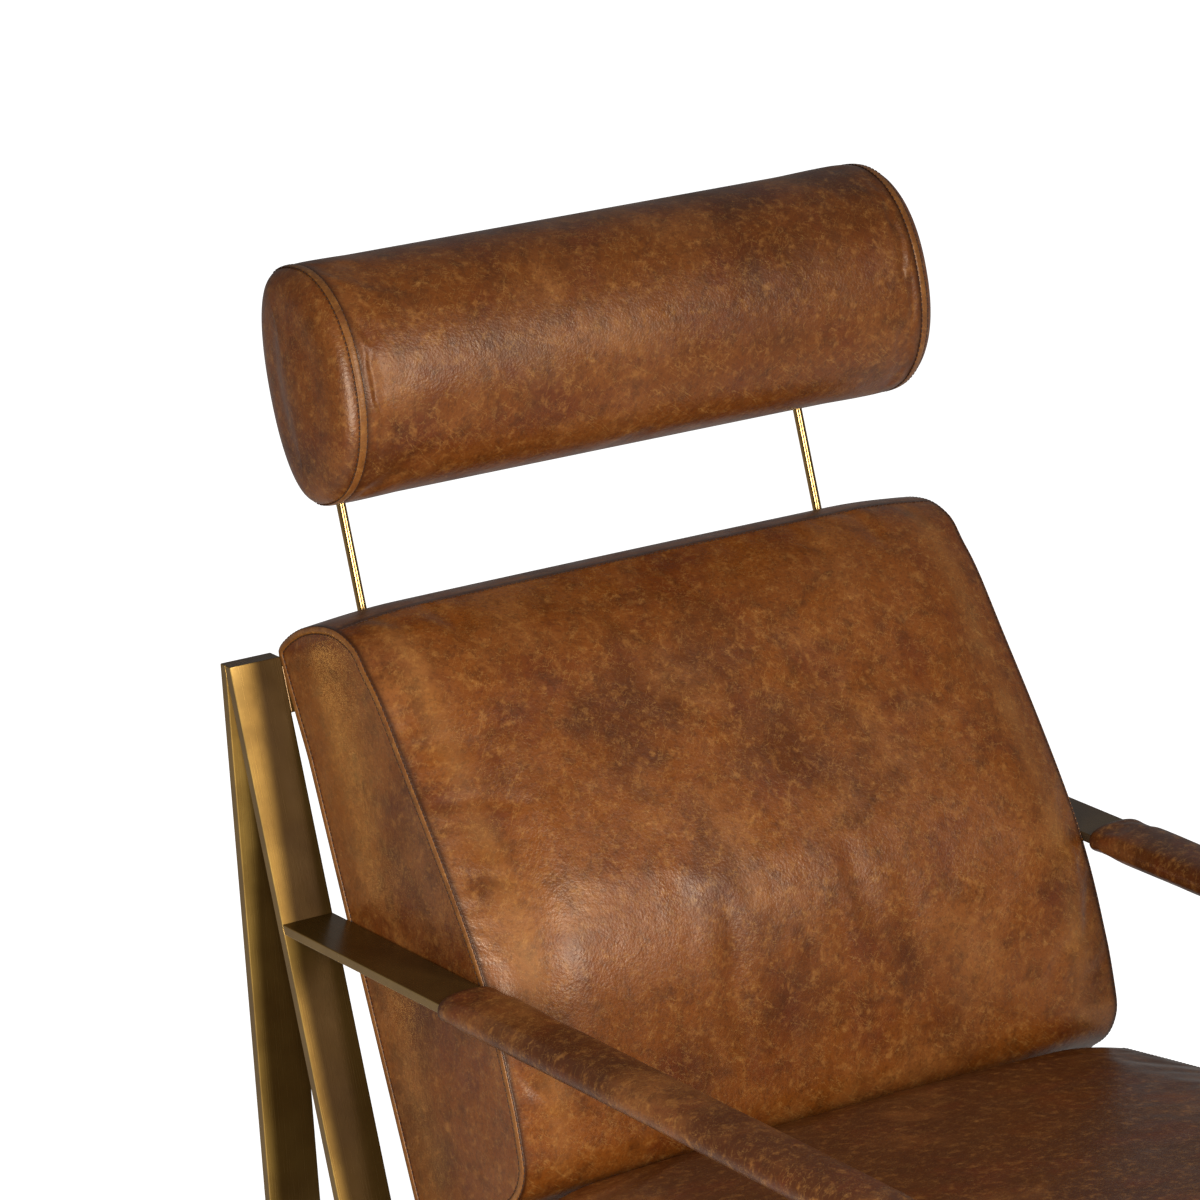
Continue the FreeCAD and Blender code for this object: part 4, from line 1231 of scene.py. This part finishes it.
@dataclass
class FrameDress:
    """Finishes of the solids that stay in view, with their arrises eased."""

    arris: float = 0.9 * MM

    def finish_of(self, node: str) -> Finish:
        """Pick a node's finish by its name.

        Args:
            node: Name of the node.

        Returns:
            Its finish.
        """
        table: tuple[tuple[tuple[str, ...], Finish], ...] = (
            (("rear_leg", "back_upright", "arm_bar", "seat_side_rail", "front_leg"), FRAME_BRASS),
            (("seat_cross_rail", "back_top_rail", "back_low_rail", "back_bracket"), RAIL_BRASS),
            (("headrest_rod", "rod_sleeve", "rod_flange"), ROD_BRASS),
            (("deck_bolt", "back_bolt"), BOLT_STEEL),
            (("glide",), GLIDE_NYLON),
        )
        return next((finish for starts, finish in table if node.startswith(starts)), DECK_PLYWOOD)

    def build(self) -> None:
        """Give every shown solid its finish, and ease the edges of the flat bars."""
        for name, node in sorted(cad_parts.items()):
            if node.hide_render:
                continue
            finish = self.finish_of(name)
            node.data.materials.clear()
            node.data.materials.append(finish.material())
            if isinstance(finish, BrushedBrass):
                weld = node.modifiers.new("join", "WELD")
                weld.merge_threshold = 1e-5
                bevel = node.modifiers.new("ease", "BEVEL")
                bevel.width = self.arris
                bevel.segments = 2
                bevel.limit_method = "ANGLE"
                bevel.angle_limit = math.radians(25.0)
            LOG.info("%s: %s", name, finish.name)


@dataclass
class Studio:
    """Pale floor, two soft boxes in front, an even sky, and the camera of the photograph."""

    camera_place: tuple[float, float, float] = (-3.14359, -3.90239, 2.42644)
    camera_turn: tuple[float, float, float] = (math.radians(72.36), 0.0, math.radians(-36.2))
    lens: float = 197.4
    floor_size: float = 60.0
    aim: tuple[float, float, float] = (-0.20, 0.10, 0.58)
    # azimuth from the front, elevation, distance, width, height, spread in degrees, watts
    boxes: tuple[tuple[float, ...], ...] = (
        (22.5, 27.5, 2.6, 0.62, 0.55, 180.0, 25.0),
        (-42.0, 14.0, 1.9, 0.5, 1.0, 100.0, 12.0),
    )
    sky: float = 0.20
    floor_mirror: float = 0.14          # how bright the floor is in mirrors
    sky_mirror: tuple[float, float] = (0.12, 0.18)      # the same of the sky, in front and behind
    floor_glow: tuple[float, float] = (0.30, 1.0)       # the floor's white under the chair and away from it
    glow_radius: tuple[float, float] = (0.40, 1.0)

    def build(self) -> None:
        """Set the stage."""
        self.lay_floor()
        self.hang_lamps()
        self.light_sky()
        self.stand_camera()
        bpy.context.scene.view_settings.view_transform = "Standard"

    def lay_floor(self) -> None:
        """A wide pale floor. To the camera it glows white away from the chair, and dimly to mirrors."""
        half = self.floor_size / 2
        mesh = bpy.data.meshes.new("floor")
        mesh.from_pydata([(-half, -half, 0.0), (half, -half, 0.0), (half, half, 0.0), (-half, half, 0.0)],
                         [], [(0, 1, 2, 3)])
        floor = bpy.data.objects.new("floor", mesh)
        bpy.context.scene.collection.objects.link(floor)
        material = bpy.data.materials.new("pale_studio_floor")
        material.use_nodes = True
        tree = material.node_tree
        tree.nodes.clear()
        coords = add_node(tree, "ShaderNodeTexCoord")
        away = add_node(tree, "ShaderNodeVectorMath", {0: coords.outputs["Object"]}, operation="LENGTH")
        glow = add_node(tree, "ShaderNodeMapRange", {
            "Value": away.outputs["Value"], "From Min": self.glow_radius[0], "From Max": self.glow_radius[1],
            "To Min": self.floor_glow[0], "To Max": self.floor_glow[1]}, interpolation_type="SMOOTHSTEP")
        path = add_node(tree, "ShaderNodeLightPath")
        mirrored = add_node(tree, "ShaderNodeMath", {
            0: path.outputs["Is Glossy Ray"], 1: self.floor_mirror}, operation="MULTIPLY")
        seen = add_node(tree, "ShaderNodeMath", {
            0: path.outputs["Is Camera Ray"], 1: mirrored.outputs[0]}, operation="MAXIMUM")
        shown = add_node(tree, "ShaderNodeMath", {
            0: seen.outputs[0], 1: path.outputs["Is Transmission Ray"]}, operation="MAXIMUM")
        strength = add_node(tree, "ShaderNodeMath", {0: shown.outputs[0], 1: glow.outputs[0]},
                            operation="MULTIPLY")
        lit = add_node(tree, "ShaderNodeBsdfDiffuse", {"Color": srgb("#E6E4E1")})
        own = add_node(tree, "ShaderNodeEmission", {
            "Color": srgb("#FFFFFF"), "Strength": strength.outputs[0]})
        both = add_node(tree, "ShaderNodeAddShader", {0: lit.outputs[0], 1: own.outputs[0]})
        add_node(tree, "ShaderNodeOutputMaterial", {"Surface": both.outputs[0]})
        material.cycles.emission_sampling = "NONE"
        mesh.materials.append(material)

    def hang_lamps(self) -> None:
        """Soft boxes round the front, each aimed at the chair."""
        for number, box in enumerate(self.boxes, 1):
            azimuth, elevation, distance, width, height, spread, watts = box
            a, e = math.radians(azimuth), math.radians(elevation)
            way = np.array([math.sin(a) * math.cos(e), -math.cos(a) * math.cos(e), math.sin(e)])
            lamp = bpy.data.lights.new(f"soft_box_{number}", "AREA")
            lamp.shape = "RECTANGLE"
            lamp.size = width
            lamp.size_y = height
            lamp.spread = math.radians(spread)
            lamp.energy = watts
            hung = bpy.data.objects.new(lamp.name, lamp)
            hung.location = np.array(self.aim) + way * distance
            hung.rotation_euler = (math.radians(90.0) - e, 0.0, a)
            bpy.context.scene.collection.objects.link(hung)

    def light_sky(self) -> None:
        """An even dim sky for light; white to the camera, and to mirrors a little brighter behind."""
        world = bpy.data.worlds.new("studio_sky")
        bpy.context.scene.world = world
        world.use_nodes = True
        tree = world.node_tree
        tree.nodes.clear()
        way = add_node(tree, "ShaderNodeSeparateXYZ", {
            0: add_node(tree, "ShaderNodeTexCoord").outputs["Generated"]})
        backdrop = add_node(tree, "ShaderNodeMapRange", {
            "Value": way.outputs[1], "From Min": -0.4, "From Max": 0.4,
            "To Min": self.sky_mirror[0], "To Max": self.sky_mirror[1]}, interpolation_type="SMOOTHSTEP")
        path = add_node(tree, "ShaderNodeLightPath")
        mirrored = add_node(tree, "ShaderNodeMath", {
            0: path.outputs["Is Glossy Ray"], 1: path.outputs["Is Transmission Ray"]}, operation="MAXIMUM")
        dim = add_node(tree, "ShaderNodeMix", {
            0: mirrored.outputs[0], 2: self.sky, 3: backdrop.outputs[0]}, data_type="FLOAT")
        strength = add_node(tree, "ShaderNodeMix", {
            0: path.outputs["Is Camera Ray"], 2: dim.outputs[0], 3: 1.0}, data_type="FLOAT")
        shine = add_node(tree, "ShaderNodeBackground", {
            "Color": srgb("#FFFFFF"), "Strength": strength.outputs[0]})
        add_node(tree, "ShaderNodeOutputWorld", {"Surface": shine.outputs[0]})
        world.cycles.sampling_method = "NONE"

    def stand_camera(self) -> None:
        """The photograph's camera: a long lens from the front left, a little above."""
        lens = bpy.data.cameras.new("camera")
        lens.lens = self.lens
        lens.sensor_width = 36.0
        lens.clip_end = 100.0
        stand = bpy.data.objects.new("camera", lens)
        stand.location = self.camera_place
        stand.rotation_euler = self.camera_turn
        bpy.context.scene.collection.objects.link(stand)
        bpy.context.scene.camera = stand


def main() -> None:
    """Build the chair's soft parts, dress its frame and set the stage, in that order."""
    logging.basicConfig(level=logging.INFO, format="%(name)s %(message)s")
    SeatCushion("seat_cushion", Body.CHAIR, SEAT_LEATHER, ("seat_cushion_cover", "seat_foam_core"),
                half=CUSHION_HALF - 2.0, columns=216, wrap_rows=72, swell_cap=5.0, fill=0.8,
                end_inset=4.0).build()
    BackCushion("back_cushion", Body.CHAIR, BACK_LEATHER, ("back_cushion_cover", "back_foam_core"),
                half=CUSHION_HALF - 2.0, columns=240, wrap_rows=78, swell_cap=6.0, fill=0.85, pucker=0.4,
                end_inset=4.0).build()
    Bolster("headrest_bolster", Body.HEADREST, BOLSTER_LEATHER,
            ("headrest_cover", "headrest_foam", "headrest_cap_left", "headrest_cap_right"),
            half=286.0, columns=112, wrap_rows=84, swell_cap=1.5, fill=0.9, pucker=0.45,
            end_inset=36.0, end_rise=24.0, end_dome=5.0, band_half=3.4, band_rise=0.6).build()
    for side, word in ((-1, "left"), (1, "right")):
        ArmPad(f"arm_pad_{word}", Body.CHAIR, PAD_LEATHER,
               (f"arm_pad_leather_{word}", f"arm_pad_foam_{word}"),
               half=275.0, columns=56, wrap_rows=64, swell_cap=1.0, fill=0.95, pucker=0.25,
               pucker_reach=9.0, end_inset=3.0, end_rise=2.0, side=side).build()
    FrameDress().build()
    Studio().build()


if __name__ == "__main__":
    main()
